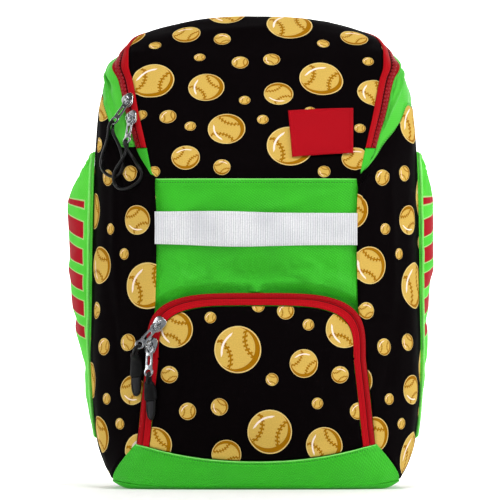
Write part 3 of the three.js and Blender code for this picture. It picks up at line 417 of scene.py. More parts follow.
    def back(self, across: Any, up: Any) -> Array:
        """A point of the back panel, from its bottom seam up to the rear zip."""
        across, up = np.broadcast_arrays(np.asarray(across, float), np.asarray(up, float))
        low = SIDE_LIMITS("low", 1.0)
        level = low + (2 - low) * up
        side = np.where(across < 0, -1.0, 1.0)
        corner = self.section(np.array(2.0))[2]
        overlap = xyz(side * corner[0], corner[1], corner[2]) - self.rear_zip_outer(side)
        top = self.rear_zip_outer(across) + overlap * (np.abs(across) ** 8)[..., None]
        plain = self.back_form(across, level)
        rise = top - self.back_form(across, np.full(across.shape, 2.0))
        return plain + rise * smooth((level - 1.65) / 0.35)[..., None]

    def seam_reach(self, z: Any) -> Array:
        """Half the front panel's width at a height."""
        share = np.clip(z, self.boot_side, self.hem_height) / self.hem_height
        return LOWER_SECTIONS("seam_x", share) * self.half_width

    def front_y(self, x: Any, z: Any) -> Array:
        """The y of the front panel's cloth at a place on it."""
        share = np.minimum(np.abs(x) / self.seam_reach(z), 1)
        seam = LOWER_SECTIONS("seam_y", np.clip(z, self.boot_side, self.hem_height) / self.hem_height)
        return seam * self.half_depth - self.front_bow * (1 - share * share)

    def front(self, across: Any, up: Any) -> Array:
        """A point of the front panel. Behind the boot it draws in and back."""
        bottom = self.cloth + 4 * self.gap
        z = bottom + (self.hem_height - bottom) * np.asarray(up, float)
        tuck = 1 - smooth((z - self.boot_side) / 14)
        x = across * (self.seam_reach(z) - 14 * tuck)
        return xyz(x, self.front_y(x, z) + 11 * tuck, z)

    def pocket_reach(self, z: Any, inset: Any) -> Array:
        """Half the pocket's width at a height, at an inset from its zip's outer edge."""
        return self.seam_reach(np.minimum(z, self.pocket_shoulder)) - 1 - inset

    def boot_edge(self, share: Any) -> Array:
        """The height of the boot's hem against the share of the front's half width."""
        return self.boot_height + (self.boot_side - self.boot_height) * np.abs(share) ** 2.2

    def arch_top(self, across: Any, inset: float) -> Array:
        """Height of the pocket's arch, a superellipse, against the share of its half width."""
        rise = self.pocket_height - inset - self.pocket_shoulder
        bow = np.maximum(0, 1 - np.abs(across) ** self.arch_power) ** (1 / self.arch_power)
        return self.pocket_shoulder + rise * bow

    def pocket(self, across: Any, up: Any) -> Array:
        """A point of the pocket's face: full in its middle, drawn flat to its zip."""
        across, up = np.broadcast_arrays(np.asarray(across, float), np.asarray(up, float))
        low = self.boot_edge(across * 0.91)
        z = low + (self.arch_top(across, self.pocket_zip) - low) * up
        x = across * self.pocket_reach(z, self.pocket_zip)
        rising = 0.42 + 0.58 * np.sin(PI / 2 * np.minimum(up / 0.4, 1))
        falling = np.clip(np.cos(PI / 2 * np.clip((up - 0.4) / 0.6, 0, 1)), 0, 1) ** 0.8
        full = (1 - np.abs(across) ** 3.2) * np.where(up < 0.4, rising, falling)
        clear = self.tape + self.gap + self.pocket_lip
        return xyz(x, self.front_y(x, z) - clear - self.pocket_bulge * full, z)

    def pocket_zip_line(self, along: Any, across: Any) -> Array:
        """A point of the pocket's zip tape: up the left side, over the superellipse, down the right."""
        along, across = np.broadcast_arrays(np.asarray(along, float), np.asarray(across, float))
        inset = across * self.pocket_zip
        side = self.zip_side_steps / (2 * self.zip_side_steps + self.arch_steps)
        from_end = np.minimum(along, 1 - along)
        low = self.boot_edge(1 - 0.09 * across)
        straight_z = low + (self.pocket_shoulder - low) * np.clip(from_end / side, 0, 1)
        straight_x = np.where(along < 0.5, -1.0, 1.0) * self.pocket_reach(straight_z, inset)
        turn = np.clip((along - side) / (1 - 2 * side), 0, 1) * PI
        power = 2 / self.arch_power
        arch_x = (-np.sign(np.cos(turn)) * np.abs(np.cos(turn)) ** power
                  * self.pocket_reach(self.pocket_shoulder, inset))
        rise = self.pocket_height - inset - self.pocket_shoulder
        arch_z = self.pocket_shoulder + np.abs(np.sin(turn)) ** power * rise
        x = np.where(from_end < side, straight_x, arch_x)
        z = np.where(from_end < side, straight_z, arch_z)
        return xyz(x, self.front_y(x, z) - self.tape - self.gap - self.pocket_lip * across, z)

    def low_seam(self, along: Any) -> Array:
        """The seam that boot and base share with the right side panel."""
        return self.side_wall(along, SIDE_LIMITS("low", along))

    def toe_seam(self, across: Any) -> Array:
        """The seam between the boot and the base, across the front of the floor."""
        across = np.asarray(across, float)
        end = self.low_seam(self.boot_corner)
        reach = np.abs(across)
        toe = self.front_y(self.half_width, 0.0) - self.pocket_lip - 3
        return xyz(across * end[0], end[1] + (toe - end[1]) * (1 - reach ** 4), 2 + (end[2] - 2) * reach ** 6)

    def boot(self, across: Any, up: Any) -> Array:
        """A point of the boot, from the toe seam up to its hem."""
        across, up = np.broadcast_arrays(np.asarray(across, float), np.asarray(up, float))
        reach = np.abs(across)
        sign = np.sign(across)
        face = self.pocket(sign * np.clip(reach / 0.91, 0, 1), np.zeros(across.shape))
        seam = self.low_seam(0.0)
        corner = xyz(sign * seam[0], seam[1], self.boot_edge(1.0))
        hem = mix(face, corner, np.clip((reach - 0.91) / 0.09, 0, 1))
        hem = xyz(hem[..., 0], hem[..., 1], self.boot_edge(reach))
        p = mix(self.toe_seam(across), hem, up)
        side = self.low_seam(self.boot_corner * (1 - up))
        chord = mix(np.broadcast_to(self.low_seam(self.boot_corner), p.shape), seam, up)
        pull = reach ** 6
        return p + xyz(sign * (side[..., 0] - chord[..., 0]) * pull,
                       (side[..., 1] - chord[..., 1]) * pull - self.boot_bulge * np.sin(PI * up) * (1 - pull),
                       (side[..., 2] - chord[..., 2]) * pull)

    def base(self, across: Any, along: Any) -> Array:
        """A point of the base, from the back seam to the toe seam: flat, its rim rolled up."""
        across, along = np.broadcast_arrays(np.asarray(across, float), np.asarray(along, float))
        reach = np.abs(across)
        back = self.back(across, 0.0)
        toe = self.toe_seam(across)
        side = self.low_seam(1 - (1 - self.boot_corner) * along)
        straight = mix(np.broadcast_to(self.back(1.0, 0.0), side.shape), self.toe_seam(1.0), along)
        p = mix(back, toe, along)
        roll = np.maximum.reduce([side[..., 2] * np.clip((reach - 0.86) / 0.14, 0, 1) ** 2,
                                  back[..., 2] * np.clip((0.08 - along) / 0.08, 0, 1) ** 2,
                                  toe[..., 2] * np.clip((along - 0.92) / 0.08, 0, 1) ** 2])
        return xyz(p[..., 0] + np.sign(across) * (side[..., 0] - straight[..., 0]) * reach,
                   p[..., 1] + (side[..., 1] - straight[..., 1]) * reach ** 4, roll)

    def sleeve(self, side: Side, along: Any, up: Any) -> Array:
        """A point of a bat sleeve: the side wall, stood off by a half sine to the power 0.65."""
        along, up = np.broadcast_arrays(np.asarray(along, float), np.asarray(up, float))
        right = side is Side.RIGHT
        bulge = (self.sleeve_bulge_right if right else self.sleeve_bulge_left) * SLEEVE_FULLNESS(
            "right" if right else "left", up)
        dip = 19 * np.sin(PI * along) ** 0.7 * smooth((up - 0.7) / 0.3)
        z = self.sleeve_bottom + (self.sleeve_top - self.sleeve_bottom) * up - dip
        level = np.where(z <= self.hem_height, z / self.hem_height, 1 + (z - self.hem_height) / self.lid_rise)
        wall = self.side_wall(self.sleeve_front + (self.sleeve_back - self.sleeve_front) * along, level)
        off = self.cloth + self.gap + bulge * np.clip(np.sin(PI * along), 0, 1) ** 0.65
        return mirrored(wall + xyz(off, 0.0, 0.0), side)

    def lid_zip_line(self, along: Any, across: Any) -> Array:
        """A point of the lid's zip tape: up the left edge, round the back, down the right edge."""
        along, across = np.broadcast_arrays(np.asarray(along, float), np.asarray(across, float))
        side_rows = self.lid_rows - self.garage_rows
        step = along * (2 * side_rows + self.lid_steps)
        up_level = np.clip(1 + (self.garage_rows + step) / self.lid_rows, 1, 2)
        down_level = np.clip(2 - (step - side_rows - self.lid_steps) / self.lid_rows, 1, 2)
        rear = np.clip(2 * (step - side_rows) / self.lid_steps - 1, -1, 1)
        flip = np.array([-1.0, 1.0, 1.0])
        first, last = (step < side_rows)[..., None], (step > side_rows + self.lid_steps)[..., None]
        inner = np.where(first, self.lid_edge(up_level) * flip,
                         np.where(last, self.lid_edge(down_level), self.lid(rear, 2.0)))
        outer = np.where(first, self.zip_outer(up_level) * flip,
                         np.where(last, self.zip_outer(down_level), self.rear_zip_outer(rear)))
        return mix(inner, outer, across)

    def inward(self, p: Array) -> Array:
        """The way from a point to the block inside the bag."""
        limits = [(self.core_side - self.half_width, self.half_width - self.core_side),
                  (self.core_depth - self.half_depth, self.half_depth - self.core_depth),
                  (self.core_bottom, self.bag_height - self.core_top)]
        near = np.stack([np.clip(p[..., i], *limits[i]) for i in range(3)], -1)
        return unit(near - p)

    def back_y(self, x: Any, z: Any) -> Array:
        """The y of the back panel's outer face at places behind the bag, by halving the range of up."""
        x, z = np.broadcast_arrays(np.asarray(x, float), np.asarray(z, float))
        low, high = np.zeros(x.shape), np.ones(x.shape)
        for _ in range(24):
            up = (low + high) / 2
            reach = self.back(np.ones(x.shape), up)[..., 0]
            below = self.back(np.clip(x / reach, -1, 1), up)[..., 2] < z
            low, high = np.where(below, up, low), np.where(below, high, up)
        reach = self.back(np.ones(x.shape), low)[..., 0]
        return self.back(np.clip(x / reach, -1, 1), low)[..., 1]


FORM = BagForm()
SOLID_ARCH = BagForm(arch_power=2.8)


# Meshes

def new_mesh(name: str, points: Array, quads: Array, tris: Array | None = None,
             uv: Array | None = None) -> bpy.types.Object:
    """Puts arrays into a mesh object, shaded smooth but for its sharp edges.

    Args:
        name: the piece's name.
        points: vertices in millimetres.
        quads: vertex numbers of the four-sided faces.
        tris: vertex numbers of the three-sided faces.
        uv: one place for each vertex, in metres of flat cloth.
    Returns:
        The new object, at the origin.
    """
    tris = np.zeros((0, 3), int) if tris is None else np.asarray(tris, int)
    quads = np.asarray(quads, int).reshape(-1, 4)
    corners = points[np.concatenate([tris, quads[:, [0, 1, 2]], quads[:, [0, 2, 3]]])]
    volume = np.einsum("ij,ij->i", corners[:, 0], np.cross(corners[:, 1], corners[:, 2])).sum()
    if volume < 0:
        quads, tris = quads[:, ::-1], tris[:, ::-1]
    mesh = bpy.data.meshes.new(name)
    mesh.vertices.add(len(points))
    mesh.vertices.foreach_set("co", (points * MM).astype(np.float32).ravel())
    loops = np.concatenate([quads.ravel(), tris.ravel()])
    sizes = np.concatenate([np.full(len(quads), 4), np.full(len(tris), 3)])
    starts = np.concatenate([[0], np.cumsum(sizes)[:-1]])
    mesh.loops.add(len(loops))
    mesh.loops.foreach_set("vertex_index", loops.astype(np.int32))
    mesh.polygons.add(len(sizes))
    mesh.polygons.foreach_set("loop_start", starts.astype(np.int32))
    mesh.polygons.foreach_set("use_smooth", np.ones(len(sizes), bool))
    if uv is not None:
        layer = mesh.uv_layers.new(name="cloth")
        layer.uv.foreach_set("vector", uv[loops].astype(np.float32).ravel())
    mesh.update(calc_edges=True)
    mesh.validate()
    mesh.set_sharp_from_angle(angle=math.radians(SHARP_FROM))
    piece = bpy.data.objects.new(name, mesh)
    bpy.context.scene.collection.objects.link(piece)
    return piece


def grid_quads(rows: int, cols: int, start: int = 0, wrap_rows: bool = False,
               wrap_cols: bool = False) -> Array:
    """The faces of a grid of vertices, its rows or columns joined round where asked."""
    r = np.arange(rows if wrap_rows else rows - 1)[:, None]
    c = np.arange(cols if wrap_cols else cols - 1)[None, :]
    r2, c2 = (r + 1) % rows, (c + 1) % cols
    faces = [r * cols + c, r * cols + c2, r2 * cols + c2, r2 * cols + c]
    return np.stack([start + np.broadcast_to(f, (r.size, c.size)) for f in faces], -1).reshape(-1, 4)


def shell(name: str, outer: Array, inner: Array, uv: Array) -> bpy.types.Object:
    """A closed sheet: an outer grid, an inner grid and the rim between them.

    Args:
        name: the piece's name.
        outer: grid of points of the outer face.
        inner: grid of points of the inner face.
        uv: grid of places in metres of flat cloth.
    Returns:
        The new object.
    """
    rows, cols = outer.shape[:2]
    count = rows * cols
    ids = np.arange(count).reshape(rows, cols)
    border = np.concatenate([ids[0, :-1], ids[:-1, -1], ids[-1, :0:-1], ids[:0:-1, 0]])
    after = np.roll(border, -1)
    rim = np.stack([border, border + count, after + count, after], -1)
    quads = np.concatenate([grid_quads(rows, cols), grid_quads(rows, cols, count)[:, ::-1], rim])
    points = np.concatenate([outer.reshape(-1, 3), inner.reshape(-1, 3)])
    flat = uv.reshape(-1, 2)
    return new_mesh(name, points, quads, uv=np.concatenate([flat, flat]))


def line_frames(points: Array, wide: Array, closed: bool = False) -> tuple[Array, Array, Array]:
    """Tangent, across and normal at each point of a line.

    Args:
        points: the line.
        wide: the way across, one vector or one for each point; it is made square to the line.
        closed: whether the last point joins the first.
    Returns:
        Three arrays of unit vectors.
    """
    if closed:
        tangent = unit(np.roll(points, -1, 0) - np.roll(points, 1, 0))
    else:
        tangent = unit(np.gradient(points, axis=0))
    wide = np.broadcast_to(wide, points.shape)
    across = unit(wide - tangent * np.sum(wide * tangent, -1, keepdims=True))
    return tangent, across, unit(np.cross(tangent, across))


def carried(name: str, line: Array, frames: tuple[Array, Array, Array], ring: Array, closed: bool = False,
            scale: Array | None = None) -> bpy.types.Object:
    """A profile carried along a line.

    Each point is the line's point plus the ring's first value across and its second along the normal,
    both times the scale there. Open ends are closed by fans.

    Args:
        name: the piece's name.
        line: the points of the line, in millimetres.
        frames: tangent, across and normal at each point.
        ring: the profile, as pairs of millimetres, or one profile for each point.
        closed: whether the line is a loop.
        scale: a pair for each point that scales the ring.
    Returns:
        The new object.
    """
    _, across, normal = frames
    ring = np.broadcast_to(ring, (len(line),) + ring.shape[-2:])
    if scale is not None:
        ring = ring * np.asarray(scale)[:, None, :]
    grid = line[:, None] + across[:, None] * ring[..., :1] + normal[:, None] * ring[..., 1:]
    rows, cols = grid.shape[:2]
    points = grid.reshape(-1, 3)
    quads = grid_quads(rows, cols, wrap_rows=closed, wrap_cols=True)
    girth = np.linalg.norm(np.diff(ring[0], axis=0, append=ring[0][:1]), axis=-1)
    uv = xyz(np.concatenate([[0], np.cumsum(girth)[:-1]])[None, :], walk(line)[:, None], 0)[..., :2] * MM
    flat, tris = uv.reshape(-1, 2), None
    if not closed:
        turn = np.arange(cols)
        ends = len(points) + np.arange(2)
        points = np.concatenate([points, grid[0].mean(0)[None], grid[-1].mean(0)[None]])
        flat = np.concatenate([flat, flat[:1], flat[-1:]])
        last = (rows - 1) * cols
        start_fan = np.stack([np.full(cols, ends[0]), (turn + 1) % cols, turn], -1)
        end_fan = np.stack([np.full(cols, ends[1]), last + turn, last + (turn + 1) % cols], -1)
        tris = np.concatenate([start_fan, end_fan])
    return new_mesh(name, points, quads, tris, flat)


def frame_of(y: Array, z: Array, place: Array) -> Array:
    """The matrix of a frame from its y, its z and its origin."""
    matrix = np.eye(4)
    matrix[:3, :3] = np.column_stack([np.cross(y, z), y, z])
    matrix[:3, 3] = place
    return matrix


def round_ring(radius: float, sides: int) -> Array:
    """A round profile."""
    turn = np.linspace(0, 2 * PI, sides, endpoint=False)
    return np.stack([np.cos(turn), np.sin(turn)], -1) * radius


def flat_ring(width: float, thickness: float, sides: int = 16, power: float = 5.0) -> Array:
    """A flat profile with rounded corners: a superellipse, |x|^n + |y|^n = 1."""
    turn = np.linspace(0, 2 * PI, sides, endpoint=False) + PI / sides
    c, s = np.cos(turn), np.sin(turn)
    curve = np.stack([np.sign(c) * np.abs(c) ** (2 / power), np.sign(s) * np.abs(s) ** (2 / power)], -1)
    return curve * np.array([width / 2, thickness / 2])


@dataclass(frozen=True)
class Ease:
    """How a cloth is let settle by simulation.

    The cloth is cut a little fuller than its form, pressed from inside and held where it is sewn, so it
    swells between its seams and wrinkles beside them.
    """

    pressure: float = 1.5
    fuller: float = 0.02
    stiffness: float = 12.0
    bending: float = 0.3
    frames: int = 16
    cap: float = 5.0


def settle(piece: bpy.types.Object, held: Array, ease: Ease) -> Array:
    """Lets a piece settle in place by a short cloth simulation without gravity.

    Args:
        piece: the piece, its faces looking out.
        held: share from 0 to 1 by which each vertex stays where it is.
        ease: how it settles.
    Returns:
        The vertices after it in millimetres, none moved by more than the cap.
    """
    before = np.empty(len(piece.data.vertices) * 3, np.float32)
    after = before.copy()
    piece.data.vertices.foreach_get("co", before)
    group = piece.vertex_groups.new(name="held")
    levels = np.round(held * 8).astype(int)
    for level in range(1, 9):
        group.add(np.flatnonzero(levels == level).tolist(), level / 8, "REPLACE")
    cloth = piece.modifiers.new("cloth", "CLOTH")
    s = cloth.settings
    s.vertex_group_mass = "held"
    s.pin_stiffness = 40.0
    s.quality = 5
    s.mass = 0.2
    s.tension_stiffness = s.compression_stiffness = ease.stiffness
    s.shear_stiffness = ease.stiffness / 2
    s.bending_stiffness = ease.bending
    s.use_pressure = True
    s.uniform_pressure_force = ease.pressure
    s.shrink_min = -ease.fuller
    s.effector_weights.gravity = 0.0
    cloth.collision_settings.use_collision = False
    cloth.point_cache.frame_end = ease.frames + 1
    for moment in range(1, ease.frames + 1):
        bpy.context.scene.frame_set(moment)
    piece.evaluated_get(bpy.context.evaluated_depsgraph_get()).data.vertices.foreach_get("co", after)
    piece.modifiers.remove(cloth)
    piece.vertex_groups.remove(group)
    bpy.context.scene.frame_set(1)
    step = (after - before).reshape(-1, 3) / MM
    length = np.linalg.norm(step, axis=-1, keepdims=True)
    log.info("%s settled, furthest move %.1f mm", piece.name, float(length.max()))
    step *= np.minimum(1.0, ease.cap / np.maximum(length, 1e-9)) * (1 - held[:, None])
    points = before.reshape(-1, 3) / MM + step
    piece.data.vertices.foreach_set("co", (points * MM).astype(np.float32).ravel())
    piece.data.update()
    return points


@dataclass(frozen=True)
class Crease:
    """A soft ridge or valley of a cut, placed in shares of the cut and measured in millimetres.

    Its height falls as exp(-(across/width)^2) across it and exp(-(along/length)^2) along it.
    """

    u: float
    v: float
    turn: float
    length: float
    width: float
    height: float


@dataclass(frozen=True)
class Sewing:
    """How a cut of cloth is worked, in millimetres."""

    thickness: float = 2.0
    roll: float = 1.4
    roll_width: float = 5.0
    pucker: float = 0.45
    pucker_pitch: float = 9.0
    pucker_reach: float = 11.0
    slack: float = 0.7
    slack_size: float = 55.0
    seed: int = 1
    inset: float = 0.12


class Cut:
    """A cut of cloth on its grid: the worked outer face, its normals and its flat places."""

    def __init__(self, surface: Surface, cols: int, rows: int, sewing: Sewing = Sewing(),
                 creases: Sequence[Crease] = (), spread: Callable[[Array], Array] | None = None,
                 outward: Array | None = None, extra: Callable[["Cut"], Array] | None = None,
                 flat: Callable[[Array, Array], Array] | None = None, ease: Ease | None = None,
                 sewn: Callable[["Cut"], Array] | None = None) -> None:
        """Works the surface: rolled edges, gathers, slack and creases along its normals.

        Args:
            surface: the form under the cut, from two shares.
            cols: steps of the first share.
            rows: steps of the second share.
            sewing: how it is worked.
            creases: folds placed one by one.
            spread: shares of the columns, where they aren't even.
            outward: the way out, where it isn't away from the bag's inside.
            extra: further height from the cut itself, in millimetres.
            flat: places on the flat cloth, in millimetres, where the grid's own lengths would shear them.
            ease: how it settles by simulation, if it does.
            sewn: share by which each place is held while it settles, besides its edges.
        """
        self.sewing = sewing
        self.us = np.linspace(0, 1, cols + 1)
        if spread is not None:
            self.us = spread(self.us)
        self.vs = np.linspace(0, 1, rows + 1)
        plain = surface(self.us[None, :], self.vs[:, None])
        wide = sewing.inset / self._length(plain, 1)
        tall = sewing.inset / self._length(plain, 0)
        u = wide[:, None] + self.us[None, :] * (1 - 2 * wide[:, None])
        v = tall[None, :] + self.vs[:, None] * (1 - 2 * tall[None, :])
        self.form = surface(u, v)
        self.normal = self._normals(self.form, outward)
        self.run_u, self.run_v = self._runs(self.form, 1), self._runs(self.form, 0)
        self.span_u, self.span_v = self.run_u[:, -1:], self.run_v[-1:, :]
        self.from_start, self.from_end = self.run_u, self.span_u - self.run_u
        self.from_low, self.from_high = self.run_v, self.span_v - self.run_v
        self.edge = np.minimum.reduce([self.from_start, self.from_end, self.from_low, self.from_high])
        height = self._worked(creases)
        if extra is not None:
            height = height + extra(self)
        self.outer = self.form + self.normal * height[..., None]
        self.normal = self._normals(self.outer, outward)
        if ease is not None:
            held = 1 - smooth((self.edge - 1.0) / 4.0)
            if sewn is not None:
                held = np.maximum(held, sewn(self))
            self._settle(ease, held)
            self.normal = self._normals(self.outer, outward)
        middle = self.run_u[:, [self.run_u.shape[1] // 2]]
        centre = self.run_v[:, [self.run_v.shape[1] // 2]]
        own = xyz(self.run_u - middle, np.broadcast_to(centre, self.run_u.shape), 0)[..., :2]
        self.uv = (own if flat is None else flat(u, v)) * MM

    @staticmethod
    def _length(points: Array, axis: int) -> Array:
        """Length of each line of the grid along an axis."""
        return np.linalg.norm(np.diff(points, axis=axis), axis=-1).sum(axis) + 1e-9

    @staticmethod
    def _runs(points: Array, axis: int) -> Array:
        """Length run along each line of the grid."""
        steps = np.linalg.norm(np.diff(points, axis=axis), axis=-1)
        return np.insert(np.cumsum(steps, axis), 0, 0.0, axis)

    @staticmethod
    def _normals(points: Array, outward: Array | None) -> Array:
        """Unit normals of the grid, turned to face out of the bag."""
        across, up = np.gradient(points, axis=1), np.gradient(points, axis=0)
        normal = unit(np.cross(across, up))
        way = -FORM.inward(points) if outward is None else np.broadcast_to(outward, points.shape)
        return normal * (-1.0 if np.sum(normal * way) < 0 else 1.0)

    def _worked(self, creases: Sequence[Crease]) -> Array:
        """The height of the worked cloth over its form, in millimetres."""
        s = self.sewing
        inward = 1 - np.clip(self.edge / s.roll_width, 0, 1)
        height = -s.roll * (1 - np.sqrt(np.clip(1 - inward ** 2, 0, 1)))
        beat = lattice_noise(self.form, s.pucker_pitch, s.seed + 11, 1)
        reach = np.exp(-self.edge / s.pucker_reach) * smooth(self.edge / 2.0)
        height += s.pucker * beat * reach * 1.6
        calm = smooth(self.edge / (1.5 * s.roll_width))
        height += s.slack * lattice_noise(self.form, s.slack_size, s.seed) * calm
        for crease in creases:
            x = self.run_u - crease.u * self.span_u
            y = self.run_v - crease.v * self.span_v
            turn = math.radians(crease.turn)
            along = x * math.cos(turn) + y * math.sin(turn)
            across = y * math.cos(turn) - x * math.sin(turn)
            height += crease.height * calm * np.exp(-(across / crease.width) ** 2
                                                    - (along / crease.length) ** 2)
        return height

    def _settle(self, ease: Ease, held: Array) -> None:
        """Lets the worked face settle."""
        rows, cols = self.outer.shape[:2]
        sheet = new_mesh("settling", self.outer.reshape(-1, 3), grid_quads(rows, cols))
        self.outer = settle(sheet, held.reshape(-1), ease).reshape(rows, cols, 3)
        bpy.data.meshes.remove(sheet.data)

    def place(self, u: Any, v: Any) -> tuple[Array, Array]:
        """Points and normals of the worked face at two shares, read between its vertices.

        Args:
            u: first share.
            v: second share.
        Returns:
            Points and unit normals.
        """
        u, v = np.broadcast_arrays(np.asarray(u, float), np.asarray(v, float))
        x = np.interp(u, self.us, np.arange(len(self.us)))
        y = np.interp(v, self.vs, np.arange(len(self.vs)))
        c, r = np.minimum(x.astype(int), len(self.us) - 2), np.minimum(y.astype(int), len(self.vs) - 2)
        fx, fy = (x - c)[..., None], (y - r)[..., None]

        def read(grid: Array) -> Array:
            """Two-way blend of the four vertices round each place."""
            return ((grid[r, c] * (1 - fx) + grid[r, c + 1] * fx) * (1 - fy)
                    + (grid[r + 1, c] * (1 - fx) + grid[r + 1, c + 1] * fx) * fy)

        return read(self.outer), unit(read(self.normal))

    def beside(self, edge: Edge, distance: float, start: float = 0.0, stop: float = 1.0,
               count: int = 400) -> tuple[Array, Array]:
        """A line beside an edge, at a distance from it.

        Args:
            edge: which edge.
            distance: how far in, in millimetres.
            start: share of the edge where the line starts.
            stop: share where it stops.
            count: points of the line.
        Returns:
            Points and normals of the line.
        """
        t = np.linspace(start, stop, count)
        if edge in (Edge.LOW, Edge.HIGH):
            inset = distance / np.interp(t, self.us, self.span_v[0])
            return self.place(t, inset if edge is Edge.LOW else 1 - inset)
        inset = distance / np.interp(t, self.vs, self.span_u[:, 0])
        return self.place(inset if edge is Edge.START else 1 - inset, t)

    def made(self, name: str, inner: Array | None = None) -> bpy.types.Object:
        """The cut as a closed sheet of its thickness."""
        if inner is None:
            inner = self.outer - self.normal * self.sewing.thickness
        return shell(name, self.outer, inner, self.uv)


def stitches(name: str, line: Array, normal: Array, length: float = 2.6, pitch: float = 3.6,
             radius: float = 0.38, sink: float = 0.12) -> bpy.types.Object:
    """A row of sewn stitches as small spindles.

    Each stitch is five rings of six points along the line, its radius falling to its ends, its ends
    drawn down into the cloth by the square of the distance from its middle.

    Args:
        name: the piece's name.
        line: points the row follows.
        normal: the way out of the cloth at each point.
        length: length of a stitch.
        pitch: from stitch to stitch.
        radius: half the thread's thickness.
        sink: how far the row sits in the cloth.
    Returns:
        The new object.
    """
    run = walk(line)
    centres = np.arange(pitch / 2, run[-1] - pitch / 2, pitch)
    stations = np.linspace(-1, 1, 5)
    middle, out = read_along(line, normal, centres[:, None] + stations * length / 2)
    across = unit(np.cross(unit(np.gradient(middle, axis=1)), out))
    drop = (radius * 0.55 - sink) - radius * 1.1 * stations ** 2
    return spindles(name, middle + out * drop[:, None], across, out, radius * STITCH_SWELL)


def sew(name: str, run: tuple[Array, Array], finish: bpy.types.Material, slot: str, **sizes: float) -> None:
    """Makes a row of stitches along a run of points and normals, and dresses it."""
    dress(stitches(name, *run, **sizes), finish, slot)


def read_along(line: Array, normal: Array, at: Array) -> tuple[Array, Array]:
    """Points and unit normals of a line at lengths along it."""
    run = walk(line)
    return read_at(at, run, line), unit(read_at(at, run, normal))


def spindles(name: str, middle: Array, across: Array, out: Array, swell: Array) -> bpy.types.Object:
    """Many small closed spindles of five six-sided rings, in one mesh.

    Args:
        name: the piece's name.
        middle: the five middles of each spindle's rings.
        across: the way across each ring, square to out.
        out: the way out of the cloth at each ring.
        swell: radius of each of the five rings.
    Returns:
        The new object.
    """
    turn = np.linspace(0, 2 * PI, SPINDLE_SIDES, endpoint=False)[:, None]
    ring = across[:, :, None] * np.cos(turn) + out[:, :, None] * np.sin(turn)
    grid = middle[:, :, None] + ring * swell[:, None, None]
    caps = [[0, 3, 2, 1], [0, 5, 4, 3], [24, 25, 26, 27], [24, 27, 28, 29]]
    one = np.concatenate([grid_quads(len(swell), SPINDLE_SIDES, wrap_cols=True), caps])
    starts = np.arange(len(middle))[:, None, None] * len(swell) * SPINDLE_SIDES
    return new_mesh(name, grid.reshape(-1, 3), (one + starts).reshape(-1, 4))


def edge_roll(name: str, cut: Cut, edge: Edge, distance: float, ring: Array, sink: float = 0.0,
              end: float = 0.004, count: int = 400) -> bpy.types.Object:
    """A profile carried along an edge of a cut.

    Args:
        name: the piece's name.
        cut: the cut.
        edge: which edge.
        distance: how far in from it.
        ring: the profile.
        sink: how far the roll's middle lies in the cloth.
        end: share of the edge left free at each end.
        count: points of the line.
    Returns:
        The new object.
    """
    line, normal = cut.beside(edge, distance, end, 1 - end, count)
    frames = line_frames(line, np.cross(normal, np.gradient(line, axis=0)))
    return carried(name, line - normal * sink, frames, ring)


def outline_plate(name: str, outlines: Sequence[Array], thickness: float, bevel: float) -> bpy.types.Mesh:
    """A flat plate from outlines, holes among them, with rounded edges.

    A flat curve is filled, given its thickness and edge rounding, and made a mesh.

    Args:
        name: name of the mesh.
        outlines: closed outlines in millimetres, the outer one first.
        thickness: thickness over its rounded edges.
        bevel: radius of the edges.
    Returns:
        The mesh, in millimetres, centred on its thickness.
    """
    curve = bpy.data.curves.new(name, "CURVE")
    curve.dimensions = "2D"
    curve.fill_mode = "BOTH"
    curve.extrude = thickness / 2 - bevel
    curve.bevel_depth = bevel
    curve.bevel_resolution = 2
    curve.offset = -bevel
    for outline in outlines:
        spline = curve.splines.new("POLY")
        spline.points.add(len(outline) - 1)
        flat = np.column_stack([outline, np.zeros(len(outline)), np.ones(len(outline))])
        spline.points.foreach_set("co", flat.ravel())
        spline.use_cyclic_u = True
    holder = bpy.data.objects.new(name, curve)
    mesh = bpy.data.meshes.new_from_object(holder)
    bpy.data.objects.remove(holder)
    return mesh


def set_in_frame(name: str, mesh: bpy.types.Mesh, matrix: Array) -> bpy.types.Object:
    """A mesh in millimetres, welded and placed by a frame's four columns, as a finished piece."""
    work = bmesh.new()
    work.from_mesh(mesh)
    bmesh.ops.remove_doubles(work, verts=work.verts, dist=0.01)
    bmesh.ops.recalc_face_normals(work, faces=work.faces)
    work.transform(Matrix.Scale(MM, 4) @ Matrix(matrix.tolist()))
    work.to_mesh(mesh)
    work.free()
    mesh.polygons.foreach_set("use_smooth", np.full(len(mesh.polygons), True))
    mesh.set_sharp_from_angle(angle=math.radians(38))
    piece = bpy.data.objects.new(name, mesh)
    bpy.context.scene.collection.objects.link(piece)
    return piece


# Finishes

def to_linear(hex_colour: str) -> tuple[float, float, float, float]:
    """An sRGB hex colour as linear values with full opacity."""
    channels = [int(hex_colour.lstrip("#")[i:i + 2], 16) / 255 for i in (0, 2, 4)]
    return tuple(c / 12.92 if c <= 0.04045 else ((c + 0.055) / 1.055) ** 2.4 for c in channels) + (1.0,)


